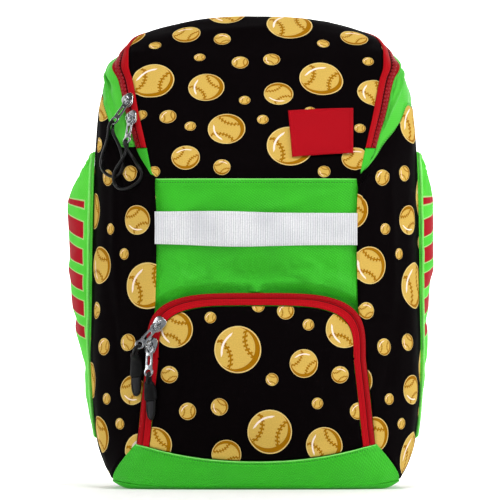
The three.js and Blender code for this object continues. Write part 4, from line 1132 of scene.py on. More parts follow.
@dataclass
class NodeSheet:
    """A new material's node tree."""

    name: str
    material: bpy.types.Material = field(init=False)

    def __post_init__(self) -> None:
        """Makes the material with its output alone."""
        self.material = bpy.data.materials.new(self.name)
        self.material.use_nodes = True
        self.material.node_tree.nodes.clear()
        self.output = self.material.node_tree.nodes.new("ShaderNodeOutputMaterial")

    def add(self, kind: str, links: dict[Any, Any] | None = None, **settings: Any) -> Any:
        """Adds a node.

        Args:
            kind: the node's type without its prefix.
            links: sockets by name or number, each to an output socket or a fixed value.
            settings: properties of the node.
        Returns:
            The node.
        """
        node = self.material.node_tree.nodes.new("ShaderNode" + kind)
        for key, value in settings.items():
            setattr(node, key, value)
        for key, value in (links or {}).items():
            if isinstance(value, bpy.types.NodeSocket):
                self.material.node_tree.links.new(value, node.inputs[key])
            else:
                node.inputs[key].default_value = value
        return node

    def math(self, operation: str, *values: Any, clamp: bool = False) -> Any:
        """The socket of one step of arithmetic on sockets or values."""
        return self.add("Math", dict(enumerate(values)), operation=operation, use_clamp=clamp).outputs[0]

    def tint(self, share: Any, below: Any, above: Any) -> Any:
        """A colour a share of the way between two, each a hex colour or a socket."""
        ends = [to_linear(end) if isinstance(end, str) else end for end in (below, above)]
        return self.add("Mix", {0: share, 6: ends[0], 7: ends[1]}, data_type="RGBA").outputs[2]

    def times(self, tone: Any, share: Any) -> Any:
        """A colour multiplied by a grey value."""
        return self.add("Mix", {0: 1.0, 6: tone, 7: share}, data_type="RGBA",
                        blend_type="MULTIPLY").outputs[2]

    def ranged(self, value: Any, low: float = 0.0, high: float = 1.0, start: float = 0.0,
               stop: float = 1.0) -> Any:
        """A value's run from low to high, spread from start to stop."""
        return self.add("MapRange", {"Value": value, "From Min": low, "From Max": high,
                                     "To Min": start, "To Max": stop}).outputs[0]

    def noise(self, place: Any, scale: float, detail: float = 2.0) -> Any:
        """Noise of about 0 to 1, its scale in patches for each metre."""
        return self.add("TexNoise", {"Vector": place, "Scale": scale, "Detail": detail}).outputs["Fac"]

    def waves(self, place: Any, pitch: float, way: str) -> Any:
        """Even bands across the X or Y way, a pitch in millimetres apart."""
        return self.add("TexWave", {"Vector": place, "Scale": 0.314 / (pitch * MM)},
                        bands_direction=way).outputs["Fac"]

    def place(self) -> Any:
        """Places in the object, in metres."""
        return self.add("TexCoord").outputs["Object"]

    def cloth_place(self) -> Any:
        """Places on the flat cloth, in metres."""
        return self.add("UVMap", uv_map="cloth").outputs[0]

    def finish(self, shader: Any) -> bpy.types.Material:
        """Joins the shader to the output and gives the material."""
        self.material.node_tree.links.new(shader.outputs[0], self.output.inputs[0])
        return self.material


@dataclass(frozen=True)
class WovenPolyester:
    """600-denier polyester oxford, plain woven and dyed: matt threads with a faint sheen.

    Real threads stand about 0.5 mm apart, too fine for the render, so the weave is drawn coarser.
    """

    name: str
    colour: str
    deep: str
    pitch: float = 1.1
    roughness: float = 0.72
    sheen: float = 0.25
    bump: float = 0.25
    gloss: float = 0.2

    def build(self) -> bpy.types.Material:
        """The material: woven bump, thread flecks and slow mottling."""
        sheet = NodeSheet(self.name)
        weave, fleck, mottle = thread_nodes(sheet, self.pitch)
        # Random mottle and fleck of the dye, plus the weave term, which darkens the colour where the threads
        # are low: painted shade between the threads.
        uneven = sheet.math("MULTIPLY", sheet.math("ADD", mottle, fleck), 0.55)
        shade = sheet.math("MULTIPLY_ADD", weave, 0.35, uneven)
        tone = sheet.tint(shade, self.deep, self.colour)
        return woven_shader(sheet, tone, weave, fleck, mottle, self.roughness, self.sheen, self.bump,
                            self.gloss)


def woven_shader(sheet: NodeSheet, tone: Any, weave: Any, fleck: Any, mottle: Any, roughness: float,
                 sheen: float, bump: float, gloss: float = 0.3) -> bpy.types.Material:
    """The shader that every woven cloth shares: threads as bump, roughness varied by the mottling.

    Args:
        sheet: the node tree.
        tone: colour socket.
        weave: height of the threads.
        fleck: fine unevenness of the yarn.
        mottle: slow unevenness.
        roughness: middle roughness.
        sheen: weight of the fibres' sheen.
        bump: strength of the thread bump.
        gloss: specular level.
    Returns:
        The finished material.
    """
    rough = sheet.ranged(mottle, 0.0, 1.0, roughness - 0.08, roughness + 0.08)
    height = sheet.math("MULTIPLY_ADD", fleck, 0.5, weave)
    normal = sheet.add("Bump", {"Height": height, "Strength": bump, "Distance": 0.0004}).outputs[0]
    shader = sheet.add("BsdfPrincipled", {"Base Color": tone, "Roughness": rough, "Normal": normal,
                                          "Sheen Weight": sheen, "Sheen Roughness": 0.45,
                                          "Specular IOR Level": gloss})
    return sheet.finish(shader)


def thread_nodes(sheet: NodeSheet, pitch: float, turn: float = 0.6) -> tuple[Any, Any, Any]:
    """Crossed threads of a weave with yarn flecks and mottling.

    Args:
        sheet: the node tree.
        pitch: millimetres from thread to thread.
        turn: angle of the threads on the cut, in radians.
    Returns:
        Sockets of the weave, the flecks and the mottling, each about 0 to 1.
    """
    uv = sheet.cloth_place()
    place = sheet.place()
    turned = sheet.add("Mapping", {"Vector": uv, "Rotation": (0, 0, turn)}).outputs[0]
    weave = sheet.math("MULTIPLY", sheet.waves(turned, pitch, "X"), sheet.waves(turned, pitch, "Y"))
    fleck = sheet.noise(uv, 900.0)
    mottle = sheet.noise(place, 22.0, 3.0)
    return weave, fleck, mottle


@dataclass(frozen=True)
class BallPrint:
    """A transfer print of plain yellow balls on black polyester oxford.

    One repeat is drawn here in millimetres. The ink lies flat on the weave with crisp edges and a
    slightly satin film, so the print shines a little more than bare cloth.
    """

    name: str = "ball_print_polyester"
    ground: str = "#060304"
    gold: str = "#d4af56"
    rim: str = "#e2c67e"
    brown: str = "#a06a08"
    cream: str = "#fbe9dc"
    repeat: float = 150.0
    balls: tuple[tuple[float, float, float, float], ...] = (
        (30, 34, 20.5, 20), (88, 22, 12.5, -35), (124, 52, 16.5, 70), (72, 68, 7.5, 10), (20, 92, 13, 120),
        (58, 112, 19.5, -15), (106, 100, 16, 40), (136, 130, 7.5, 0), (14, 134, 7.5, 60), (100, 137, 5, 0),
        (48, 72, 5.5, 30), (140, 84, 5, 0), (60, 8, 5.5, 80), (6, 62, 5, 0), (120, 12, 7.5, -60),
        (92, 56, 5, 0),
    )
    seam_centre: float = 1.3
    seam_radius: float = 0.92

    def build(self) -> bpy.types.Material:
        """The material: each ball's own coordinates are chosen by which ball a place lies in, and the
        ball is drawn once from them."""
        sheet = NodeSheet(self.name)
        weave, fleck, mottle = thread_nodes(sheet, 1.1)
        uv = sheet.cloth_place()
        size = self.repeat * MM
        tile = sheet.add("VectorMath", {0: uv, 1: (size, size, 1.0), 2: (0.0, 0.0, -1.0)},
                         operation="WRAP").outputs[0]
        local = sheet.add("CombineXYZ", {0: 9.0}).outputs[0]
        for x, y, radius, turn in self.balls:
            own = sheet.add("Mapping", {"Vector": tile, "Location": (x * MM, y * MM, 0.0),
                                        "Rotation": (0, 0, math.radians(turn)), "Scale": (radius * MM,) * 3},
                            vector_type="TEXTURE").outputs[0]
            far = sheet.add("VectorMath", {0: own}, operation="LENGTH").outputs["Value"]
            inside = sheet.math("LESS_THAN", far, 1.0)
            local = sheet.add("Mix", {0: inside, 4: local, 5: own}, data_type="VECTOR").outputs[1]
        reach = sheet.add("VectorMath", {0: local}, operation="LENGTH").outputs["Value"]
        tone = sheet.tint(self._within(sheet, local, (-0.12, 0.12, 0), 0.0, 0.9), self.brown, self.gold)
        parts = sheet.add("SeparateXYZ", {0: local})
        ticks = sheet.math("MULTIPLY", parts.outputs[1], 34.0)
        ticks = sheet.math("GREATER_THAN", sheet.math("SINE", ticks), 0.1)
        for side in (-1, 1):
            seam = self._within(sheet, local, (side * self.seam_centre, 0, 0), self.seam_radius - 0.035,
                                self.seam_radius + 0.035)
            lace = self._within(sheet, local, (side * self.seam_centre, 0, 0), self.seam_radius - 0.11,
                                self.seam_radius + 0.11)
            lace = sheet.math("MULTIPLY", lace, ticks)
            seam = sheet.math("MAXIMUM", seam, lace)
            tone = sheet.tint(seam, tone, self.brown)
        shine = self._within(sheet, local, (0.18, -0.2, 0), 0.88, 0.97)
        toward = sheet.add("VectorMath", {0: local, 1: (-0.7, 0.7, 0)},
                           operation="DOT_PRODUCT").outputs["Value"]
        corner = sheet.math("GREATER_THAN", toward, 0.5)
        shine = sheet.math("MULTIPLY", shine, corner)
        tone = sheet.tint(shine, tone, self.cream)
        edge = sheet.math("GREATER_THAN", reach, 0.95)
        tone = sheet.tint(edge, tone, self.rim)
        inked = sheet.math("LESS_THAN", reach, 1.0)
        tone = sheet.tint(inked, self.ground, tone)
        tone_scale = sheet.ranged(fleck, 0.3, 0.7, 0.88, 1.05)
        tone = sheet.times(tone, tone_scale)
        return woven_shader(sheet, tone, weave, fleck, mottle, 0.74, 0.0, 0.3, 0.02)

    def _within(self, sheet: NodeSheet, local: Any, centre: tuple[float, float, float], low: float,
                high: float) -> Any:
        """One where the distance from a centre lies between two values."""
        far = sheet.add("VectorMath", {0: local, 1: centre}, operation="DISTANCE").outputs["Value"]
        middle, half = (low + high) / 2, (high - low) / 2
        return sheet.math("COMPARE", far, middle, half)


@dataclass(frozen=True)
class ChevronCloth:
    """The sleeves' green polyester with a stack of plain red chevrons printed on it.

    A place is red where its height plus a share of its distance from the middle line falls in the middle
    part of each repeat, inside the printed field. A slightly larger test gives the pale outline.
    """

    name: str = "chevron_polyester"
    # The green is paler than the front's: partly painted light on the sleeves, partly a paler cloth.
    colour: str = "#66de4c"
    deep: str = "#40be2a"
    red: str = "#a80c1e"
    outline: str = "#a6cf7e"
    low: float = 100.0
    high: float = 216.0
    half: float = 35.0
    centre: float = -6.0
    repeat: float = 23.0
    share: float = 0.58
    slant: float = 0.28

    def build(self) -> bpy.types.Material:
        """The material."""
        sheet = NodeSheet(self.name)
        weave, fleck, mottle = thread_nodes(sheet, 1.6)
        # The weave term darkens the colour where the threads are low, a painted shade between them; the
        # mottle is random.
        shade = sheet.math("MULTIPLY_ADD", weave, 0.3, mottle)
        shade = sheet.ranged(shade, 0.25, 0.85)
        tone = sheet.tint(shade, self.deep, self.colour)
        parts = sheet.add("SeparateXYZ", {0: sheet.cloth_place()})
        away = sheet.math("SUBTRACT", parts.outputs[0], self.centre * MM)
        away = sheet.math("ABSOLUTE", away)
        climb = sheet.math("MULTIPLY_ADD", away, self.slant, parts.outputs[1])
        rows = sheet.math("MODULO", climb, self.repeat * MM)
        for grown, colour in ((1.0, self.outline), (0.0, self.red)):
            middle = (self.low + self.high) / 2 * MM
            reach = (self.high - self.low) / 2 * MM + grown * MM
            tall = sheet.math("COMPARE", climb, middle, reach)
            wide = sheet.math("LESS_THAN", away, (self.half + grown) * MM)
            band = sheet.math("COMPARE", rows, self.repeat / 2 * MM,
                              (self.repeat * self.share / 2 + grown) * MM)
            inside = sheet.math("MULTIPLY", tall, wide)
            inside = sheet.math("MULTIPLY", inside, band)
            tone = sheet.tint(inside, tone, colour)
        return woven_shader(sheet, tone, weave, fleck, mottle, 0.72, 0.0, 0.3, 0.12)


@dataclass(frozen=True)
class PlainFinish:
    """A moulded, thread or rubber finish: one colour with fine unevenness.

    The grain is a noise of the given size that moves the roughness and a slight bump.
    """

    name: str
    colour: str
    deep: str
    roughness: float = 0.5
    grain: float = 1.5
    bump: float = 0.1
    gloss: float = 0.5
    sheen: float = 0.0

    def build(self) -> bpy.types.Material:
        """The material."""
        sheet = NodeSheet(self.name)
        place = sheet.place()
        fine = sheet.noise(place, 1 / (self.grain * MM), 3.0)
        slow = sheet.noise(place, 1 / (12 * self.grain * MM))
        tone = sheet.tint(slow, self.deep, self.colour)
        rough = sheet.ranged(fine, 0.0, 1.0, max(self.roughness - 0.08, 0.02), self.roughness + 0.08)
        bump = sheet.add("Bump", {"Height": fine, "Strength": self.bump, "Distance": 0.0003}).outputs[0]
        return sheet.finish(sheet.add("BsdfPrincipled", {
            "Base Color": tone, "Roughness": rough, "Normal": bump,
            "Specular IOR Level": self.gloss, "Sheen Weight": self.sheen}))


@dataclass(frozen=True)
class PlatedMetal:
    """Bright nickel plate on cast zinc: mirror-like, darker where it faces the eye, with soft grime.

    Its colour runs from the facing tone to the edge tone by a Layer Weight, which stands in for the dark
    room that a mirror would show.
    """

    name: str = "nickel_plate"
    facing: str = "#7a7e84"
    edge: str = "#f4f5f7"
    roughness: float = 0.16

    def build(self) -> bpy.types.Material:
        """The material."""
        sheet = NodeSheet(self.name)
        place = sheet.place()
        fine = sheet.noise(place, 700.0)
        slow = sheet.noise(place, 260.0)
        facing = sheet.add("LayerWeight", {"Blend": 0.35}).outputs["Facing"]
        share = sheet.math("MULTIPLY_ADD", slow, 0.5, facing)
        share = sheet.ranged(share, 0.2, 0.75)
        tone = sheet.tint(share, self.facing, self.edge)
        rough = sheet.ranged(fine, 0.0, 1.0, self.roughness - 0.06, self.roughness + 0.08)
        return sheet.finish(sheet.add("BsdfPrincipled",
                                      {"Base Color": tone, "Metallic": 1.0, "Roughness": rough}))


@dataclass(frozen=True)
class ZipTape:
    """Dyed polyester zip tape with a folded welt along one edge and the coil's bed beyond it.

    The cut's second flat coordinate runs across the tape, so bands of it pick the welt's bright red, the
    dark shadow of its fold and the deeper red of the bed.
    """

    name: str
    welt: str = "#b20613"
    fold: str = "#400105"
    bed: str = "#960510"
    welt_ends: float = 6.4
    bed_starts: float = 8.2
    rib: float = 1.5

    def build(self) -> bpy.types.Material:
        """The material."""
        sheet = NodeSheet(self.name)
        weave, fleck, mottle = thread_nodes(sheet, self.rib, 0.0)
        uv = sheet.add("SeparateXYZ", {0: sheet.cloth_place()}).outputs[1]
        past_welt = sheet.ranged(uv, self.welt_ends * MM, (self.welt_ends + 0.5) * MM)
        on_bed = sheet.ranged(uv, self.bed_starts * MM, (self.bed_starts + 0.5) * MM)
        tone = sheet.tint(past_welt, self.welt, self.fold)
        tone = sheet.tint(on_bed, tone, self.bed)
        # Darker where the weave is low, a painted shade between the threads, with the yarn's random fleck.
        tone_scale = sheet.ranged(sheet.math("ADD", weave, fleck), 0.3, 1.4, 0.72, 1.12)
        tone = sheet.times(tone, tone_scale)
        return woven_shader(sheet, tone, weave, fleck, mottle, 0.66, 0.0, 0.4, 0.08)


@dataclass(frozen=True)
class RibbedTape:
    """Woven tape or webbing: ribs across its length, the thread's fleck on them."""

    name: str
    colour: str
    deep: str
    rib: float = 1.6
    along_u: bool = True
    roughness: float = 0.6
    bump: float = 0.35
    sheen: float = 0.2

    def build(self) -> bpy.types.Material:
        """The material."""
        sheet = NodeSheet(self.name)
        uv = sheet.cloth_place()
        place = sheet.place()
        lengthwise, crosswise = ("X", "Y") if self.along_u else ("Y", "X")
        ribs = sheet.waves(uv, self.rib, lengthwise)
        cross = sheet.waves(uv, 1.3, crosswise)
        fleck = sheet.noise(uv, 800.0)
        mottle = sheet.noise(place, 25.0)
        # The ribs darken the colour between them, a painted shade; the fleck and mottle are random unevenness
        # of the yarn.
        shade = sheet.math("MULTIPLY_ADD", ribs, 0.4, fleck)
        shade = sheet.math("MULTIPLY", shade, mottle, clamp=True)
        shade = sheet.ranged(shade, 0.1, 0.55)
        tone = sheet.tint(shade, self.deep, self.colour)
        weave = sheet.math("MULTIPLY_ADD", cross, 0.4, ribs)
        return woven_shader(sheet, tone, weave, fleck, mottle, self.roughness, self.sheen, self.bump)


class Finishes:
    """Every material of the bag, made once."""

    def __init__(self) -> None:
        """Builds them."""
        self.print = BallPrint().build()
        self.green = WovenPolyester("green_polyester", "#2fc403", "#189203", pitch=1.9, roughness=0.56,
                                    sheen=0.05, bump=0.7, gloss=0.4).build()
        # A paler copy of the front's green for the yokes: partly painted light, partly a paler cloth.
        self.pale_green = WovenPolyester("sleeve_polyester", "#54cc3c", "#32ac1e", pitch=1.6, sheen=0.2,
                                         bump=0.3).build()
        self.chevrons = ChevronCloth().build()
        self.binding = RibbedTape("green_binding", "#8df277", "#63d84a", rib=1.2, along_u=False).build()
        self.lid_tape = ZipTape("lid_zip_tape_cloth").build()
        self.pocket_tape = ZipTape("pocket_zip_tape_cloth", "#a40410", "#400105", "#bb0816", 5.2, 6.0).build()
        self.coil = PlainFinish("red_nylon_coil", "#b40b1c", "#800410", 0.36, grain=2.0, gloss=0.3).build()
        self.webbing = RibbedTape("white_webbing", "#e6e6e9", "#bfc1c8", rib=2.0).build()
        self.black_webbing = RibbedTape("black_webbing", "#2b2b2f", "#0c0c0e", rib=2.0, along_u=False,
                                        bump=0.6).build()
        self.mesh = WovenPolyester("black_spacer_mesh", "#2a2a2e", "#030304", pitch=3.0, bump=0.9,
                                   sheen=0.1).build()
        self.black_binding = RibbedTape("black_binding", "#1c1c1f", "#0c0c0e", rib=1.2, along_u=False).build()
        self.patch = WovenPolyester("red_badge_twill", "#b40718", "#8a0310", pitch=1.3, sheen=0.0, bump=0.4,
                                    gloss=0.08).build()
        self.chrome = PlatedMetal().build()
        self.acetal = PlainFinish("black_acetal", "#1a1a1c", "#0d0d0f", 0.42, grain=0.5).build()
        self.cord = PlainFinish("waxed_cord", "#0b0b0c", "#040405", 0.3, grain=0.7, bump=0.3,
                                gloss=0.2).build()
        self.rubber = PlainFinish("rubber_grip", "#0c0c0e", "#060607", 0.42, grain=0.8, gloss=0.12).build()
        self.tip = PlainFinish("grey_rubber_tip", "#28282c", "#17171a", 0.45, grain=0.8, gloss=0.2).build()
        # Darker than the cloth: partly a darker thread, partly painted shade of the stitch holes.
        self.green_thread = PlainFinish("green_thread", "#18700c", "#0f5208", 0.6).build()
        # Pale green: a painted highlight along the turned edge of each hem.
        self.light_thread = PlainFinish("light_green_thread", "#8cf06e", "#6bd850", 0.6, sheen=0.3).build()
        self.red_thread = PlainFinish("red_thread", "#c41426", "#960817", 0.55, gloss=0.2).build()
        self.white_thread = PlainFinish("white_thread", "#dfe0e4", "#c2c3c8", 0.6, sheen=0.3).build()
        self.black_thread = PlainFinish("black_thread", "#3a3a40", "#1d1d20", 0.6, sheen=0.3).build()


def dress(piece: bpy.types.Object, material: bpy.types.Material, slot: str, *nodes: str) -> bpy.types.Object:
    """Gives a piece its material and body, and hides the solids it stands for.

    Args:
        piece: the piece.
        material: its finish.
        slot: not used.
        nodes: the solids that it replaces.
    Returns:
        The piece.
    """
    piece.data.materials.clear()
    piece.data.materials.append(material)
    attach(piece, "root")
    if nodes:
        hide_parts(*nodes)
    log.info("%s: %d faces", piece.name, len(piece.data.polygons))
    return piece


# The room

@dataclass
class Studio:
    """Pale floor, soft lights and the camera at the photograph's place."""

    lens: float = 652.0
    distance: float = 8.0
    aim_x: float = -0.0053
    aim_z: float = 0.2104
    plane_y: float = -0.04
    floor: str = "#f4f4f2"

    def build(self) -> None:
        """Makes the camera, the lights, the world and the sweep of floor and wall."""
        self._camera()
        self._light("right", (1.6, -0.6, 0.9), (0.0, 0.0, 0.2), 0.7, 12.0)
        self._light("left", (-1.6, -0.6, 0.9), (0.0, 0.0, 0.2), 0.7, 6.5)
        self._light("top", (0.1, -0.75, 1.7), (0.0, 0.0, 0.2), 0.6, 15.0)
        self._light("front", (0.5, -2.2, 1.1), (0.0, 0.0, 0.2), 0.8, 2.0)
        self._light("rear", (0.3, 1.7, 1.3), (0.0, 0.0, 0.2), 1.2, 17.0)
        world = bpy.data.worlds.new("studio_air")
        world.use_nodes = True
        air = world.node_tree.nodes["Background"]
        air.inputs["Color"].default_value = (1.0, 1.0, 1.0, 1.0)
        air.inputs["Strength"].default_value = 0.08
        bpy.context.scene.world = world
        bpy.context.scene.view_settings.view_transform = "Standard"
        self._floor()

    def _camera(self) -> None:
        """Looks along +Y from far in front, so the view is nearly parallel."""
        data = bpy.data.cameras.new("camera")
        data.lens, data.sensor_width = self.lens, 36.0
        camera = bpy.data.objects.new("camera", data)
        camera.location = (self.aim_x, self.plane_y - self.distance, self.aim_z)
        camera.rotation_euler = (PI / 2, 0.0, 0.0)
        bpy.context.scene.collection.objects.link(camera)
        bpy.context.scene.camera = camera

    def _light(self, name: str, place: tuple[float, float, float], aim: tuple[float, float, float],
               size: float, power: float) -> None:
        """A square soft light that faces a point."""
        data = bpy.data.lights.new(name, "AREA")
        data.size, data.energy = size, power
        light = bpy.data.objects.new(name, data)
        light.location = place
        light.rotation_euler = (Vector(aim) - Vector(place)).to_track_quat("-Z", "Y").to_euler()
        bpy.context.scene.collection.objects.link(light)

    def _floor(self) -> None:
        """A round floor that sweeps up into a wall on every side: a level run, a quarter turn and a rise."""
        turn = np.linspace(0, PI / 2, 17)
        reach = np.concatenate([[0.0, 400.0, 2000.0, 6000.0], 9500 + 1500 * np.sin(turn), [11000.0]])
        z = np.concatenate([np.zeros(4), 1500 - 1500 * np.cos(turn), [9000.0]])
        round_way = np.linspace(0, 2 * PI, 73)
        grid = xyz(reach[:, None] * np.cos(round_way), reach[:, None] * np.sin(round_way), z[:, None])
        sheet = NodeSheet("studio_paper")
        place = sheet.place()
        grain = sheet.noise(place, 40.0)
        rough = sheet.ranged(grain, 0.0, 1.0, 0.55, 0.7)
        far = sheet.add("VectorMath", {0: place}, operation="LENGTH").outputs["Value"]
        far = sheet.math("MAXIMUM", far, 0.7)
        behind = sheet.math("DIVIDE", sheet.add("SeparateXYZ", {0: place}).outputs[1], far)
        glow = sheet.ranged(behind, 0.15, 0.8, 0.12, 1.0)
        material = sheet.finish(sheet.add("BsdfPrincipled", {
            "Base Color": to_linear(self.floor), "Roughness": rough, "Specular IOR Level": 0.2,
            "Emission Color": (1.0, 1.0, 1.0, 1.0), "Emission Strength": glow}))
        floor = shell("studio_floor", grid, grid - np.array([0.0, 0.0, 4.0]), grid[..., :2] * MM)
        floor.data.materials.append(material)


# The loops of cord on the zip pulls

@dataclass
class CordLoops:
    """A loop of thin cord through the lower hole of each zip pull, as routed in the solids."""

    diameter: float = 3.0
    sides: int = 12
    points: int = 160
    harmonics: float = 6.5
    routes: dict[str, list[tuple[float, float, float]]] = field(default_factory=lambda: {
        "lid_upper": [
            (-125.3, -29.6, 325.2), (-126.7, -31.1, 325.9), (-128.4, -32.2, 324.4), (-130.2, -32.9, 321.6),
            (-130.3, -26.2, 312.2), (-132.3, -27.1, 305.3), (-134.6, -28.0, 298.4), (-136.7, -28.1, 291.5),
            (-137.0, -33.1, 284.4), (-133.5, -40.6, 278.3), (-127.2, -47.6, 274.9), (-120.5, -54.2, 276.0),
            (-117.7, -54.2, 282.6), (-117.4, -50.8, 289.8), (-118.9, -46.5, 296.8), (-121.3, -41.0, 303.6),
            (-124.3, -34.9, 310.2), (-128.5, -30.2, 318.3), (-125.7, -28.5, 321.1), (-124.6, -28.4, 323.6)],
        "lid_lower": [
            (-114.3, -47.2, 307.9), (-115.7, -48.8, 308.3), (-116.5, -50.5, 306.6), (-116.9, -52.0, 303.6),
            (-110.3, -54.0, 294.9), (-106.9, -59.4, 288.9), (-103.1, -65.1, 283.1), (-99.4, -67.7, 277.4),
            (-102.6, -66.0, 271.6), (-107.9, -65.9, 267.1), (-114.2, -62.6, 264.4), (-120.9, -56.5, 264.4),
            (-125.5, -52.2, 269.3), (-125.7, -54.2, 276.2), (-123.1, -48.5, 282.5), (-119.4, -55.1, 288.3),
            (-115.3, -54.0, 293.9), (-114.4, -49.7, 300.7), (-113.1, -47.0, 303.8), (-113.1, -46.2, 306.3)],
        "pocket_upper": [
            (-101.7, -87.8, 127.3), (-102.7, -89.7, 127.5), (-104.5, -90.5, 126.0), (-106.8, -90.4, 123.4),
            (-107.3, -75.0, 114.3), (-107.9, -75.3, 108.7), (-108.2, -75.7, 103.0), (-108.4, -76.3, 97.4),
            (-108.3, -77.0, 91.7), (-107.9, -78.6, 86.1), (-105.2, -80.8, 81.3), (-102.5, -80.8, 86.1),
            (-102.3, -80.7, 91.7), (-102.2, -80.2, 97.4), (-102.3, -79.8, 103.0), (-102.6, -79.0, 108.7),
            (-103.1, -78.0, 114.3), (-106.2, -86.5, 121.3), (-103.1, -85.4, 124.1), (-101.5, -85.9, 126.2)],
        "pocket_lower": [
            (-93.8, -90.7, 103.0), (-94.7, -92.7, 102.8), (-95.1, -93.7, 100.6), (-95.2, -94.2, 97.2),
            (-95.4, -86.5, 90.0), (-95.4, -87.2, 85.1), (-95.3, -87.8, 80.1), (-95.1, -88.3, 75.1),
            (-94.9, -88.8, 70.1), (-94.5, -89.7, 65.2), (-92.0, -91.8, 61.0), (-89.7, -92.1, 65.3),
            (-89.4, -92.0, 70.2), (-89.4, -91.4, 75.2), (-89.6, -90.6, 80.2), (-90.0, -89.7, 85.1),
            (-90.8, -88.5, 90.0), (-93.3, -90.4, 95.4), (-92.7, -88.8, 99.4), (-92.9, -89.0, 102.1)],
    })

    def build(self, finishes: Finishes) -> None:
        for name, route in self.routes.items():
            line = self._smoothed(np.array(route))
            closed = np.concatenate([line, line[:1]])
            frames = line_frames(line, line - line.mean(0), closed=True)
            piece = carried(f"{name}_loop", line, frames, round_ring(self.diameter / 2, self.sides),
                            closed=True)
            dress(piece, finishes.cord, "pull_cord", f"{name}_cord")
            held = self._grips(name, line, finishes) if name.startswith("pocket") else []
            float(walk(closed)[-1] * MM)

    def _grips(self, name: str, line: Array, finishes: Finishes) -> list[bpy.types.Object]:
        """The black rubber grip round both legs of a pocket loop and the grey tip on its lower end."""
        low, high = float(line[:, 2].min()), float(line[:, 2].max())
        grip = self._tube(f"{name}_grip", line, high - 7.0, low + 15.0, 3.4, (1.0, 0.94), 3.0)
        tip = self._tube(f"{name}_tip", line, low + 16.0, low - 0.5, 0.8, (1.0, 0.42), 1.0)
        return [dress(grip, finishes.rubber, "pull_cord"), dress(tip, finishes.tip, "pull_cord")]

    def _tube(self, name: str, line: Array, top: float, foot: float, spare: float, taper: tuple[float, float],
              extra: float) -> bpy.types.Object:
        """An oval tube round both legs of a hanging loop, rounded off at both ends.

        Its middle is midway between the legs at each height, and its width is their distance plus the
        cord and some spare, times a taper that runs from top to foot; the ends shrink by a quarter circle.

        Args:
            name: the piece's name.
            line: the loop's points.
            top: height where it starts.
            foot: height where it ends.
            spare: width beyond the two cords.
            taper: factor at the top and at the foot.
            extra: thickness beyond one cord.
        Returns:
            The new object.
        """
        legs = np.roll(line, -int(np.argmin(line[:, 2])), axis=0)
        half = len(legs) // 2
        share = np.linspace(0, 1, 36)
        heights = np.maximum(top + (foot - top) * share, legs[0, 2] + 0.6)
        one, two = (read_at(heights, leg[:, 2], leg) for leg in (legs[:half], legs[half:][::-1]))
        middle = (one + two) / 2
        middle[:, 2] = top + (foot - top) * share
        gap = np.linalg.norm(one - two, axis=-1)
        width = (np.maximum(gap, 2.0) + self.diameter + spare) * (taper[0] + (taper[1] - taper[0]) * share)
        end = np.minimum(share, 1 - share) * abs(top - foot) / 2.2
        cap = np.sqrt(np.clip(1 - (1 - np.clip(end, 0, 1)) ** 2, 0.02, 1))
        across = np.array([one[12, 0] - two[12, 0], one[12, 1] - two[12, 1], 0.0])
        return carried(name, middle, line_frames(middle, across), round_ring(0.5, 24),
                       scale=np.stack([width * cap, (self.diameter + extra) * cap], -1))

    def _smoothed(self, route: Array) -> Array:
        """The closed route evenly spaced, kept to its first harmonics, the higher ones fading out."""
        line = resampled(np.concatenate([route, route[:1]]), self.points + 1)[:-1]
        waves = np.fft.rfft(line, axis=0)
        fade = np.exp(-(np.arange(len(waves)) / self.harmonics) ** 4)
        line = np.fft.irfft(waves * fade[:, None], n=self.points, axis=0)
        return resampled(np.concatenate([line, line[:1]]), self.points + 1)[:-1]


# The bag's cloth, zips, harness and zip heads

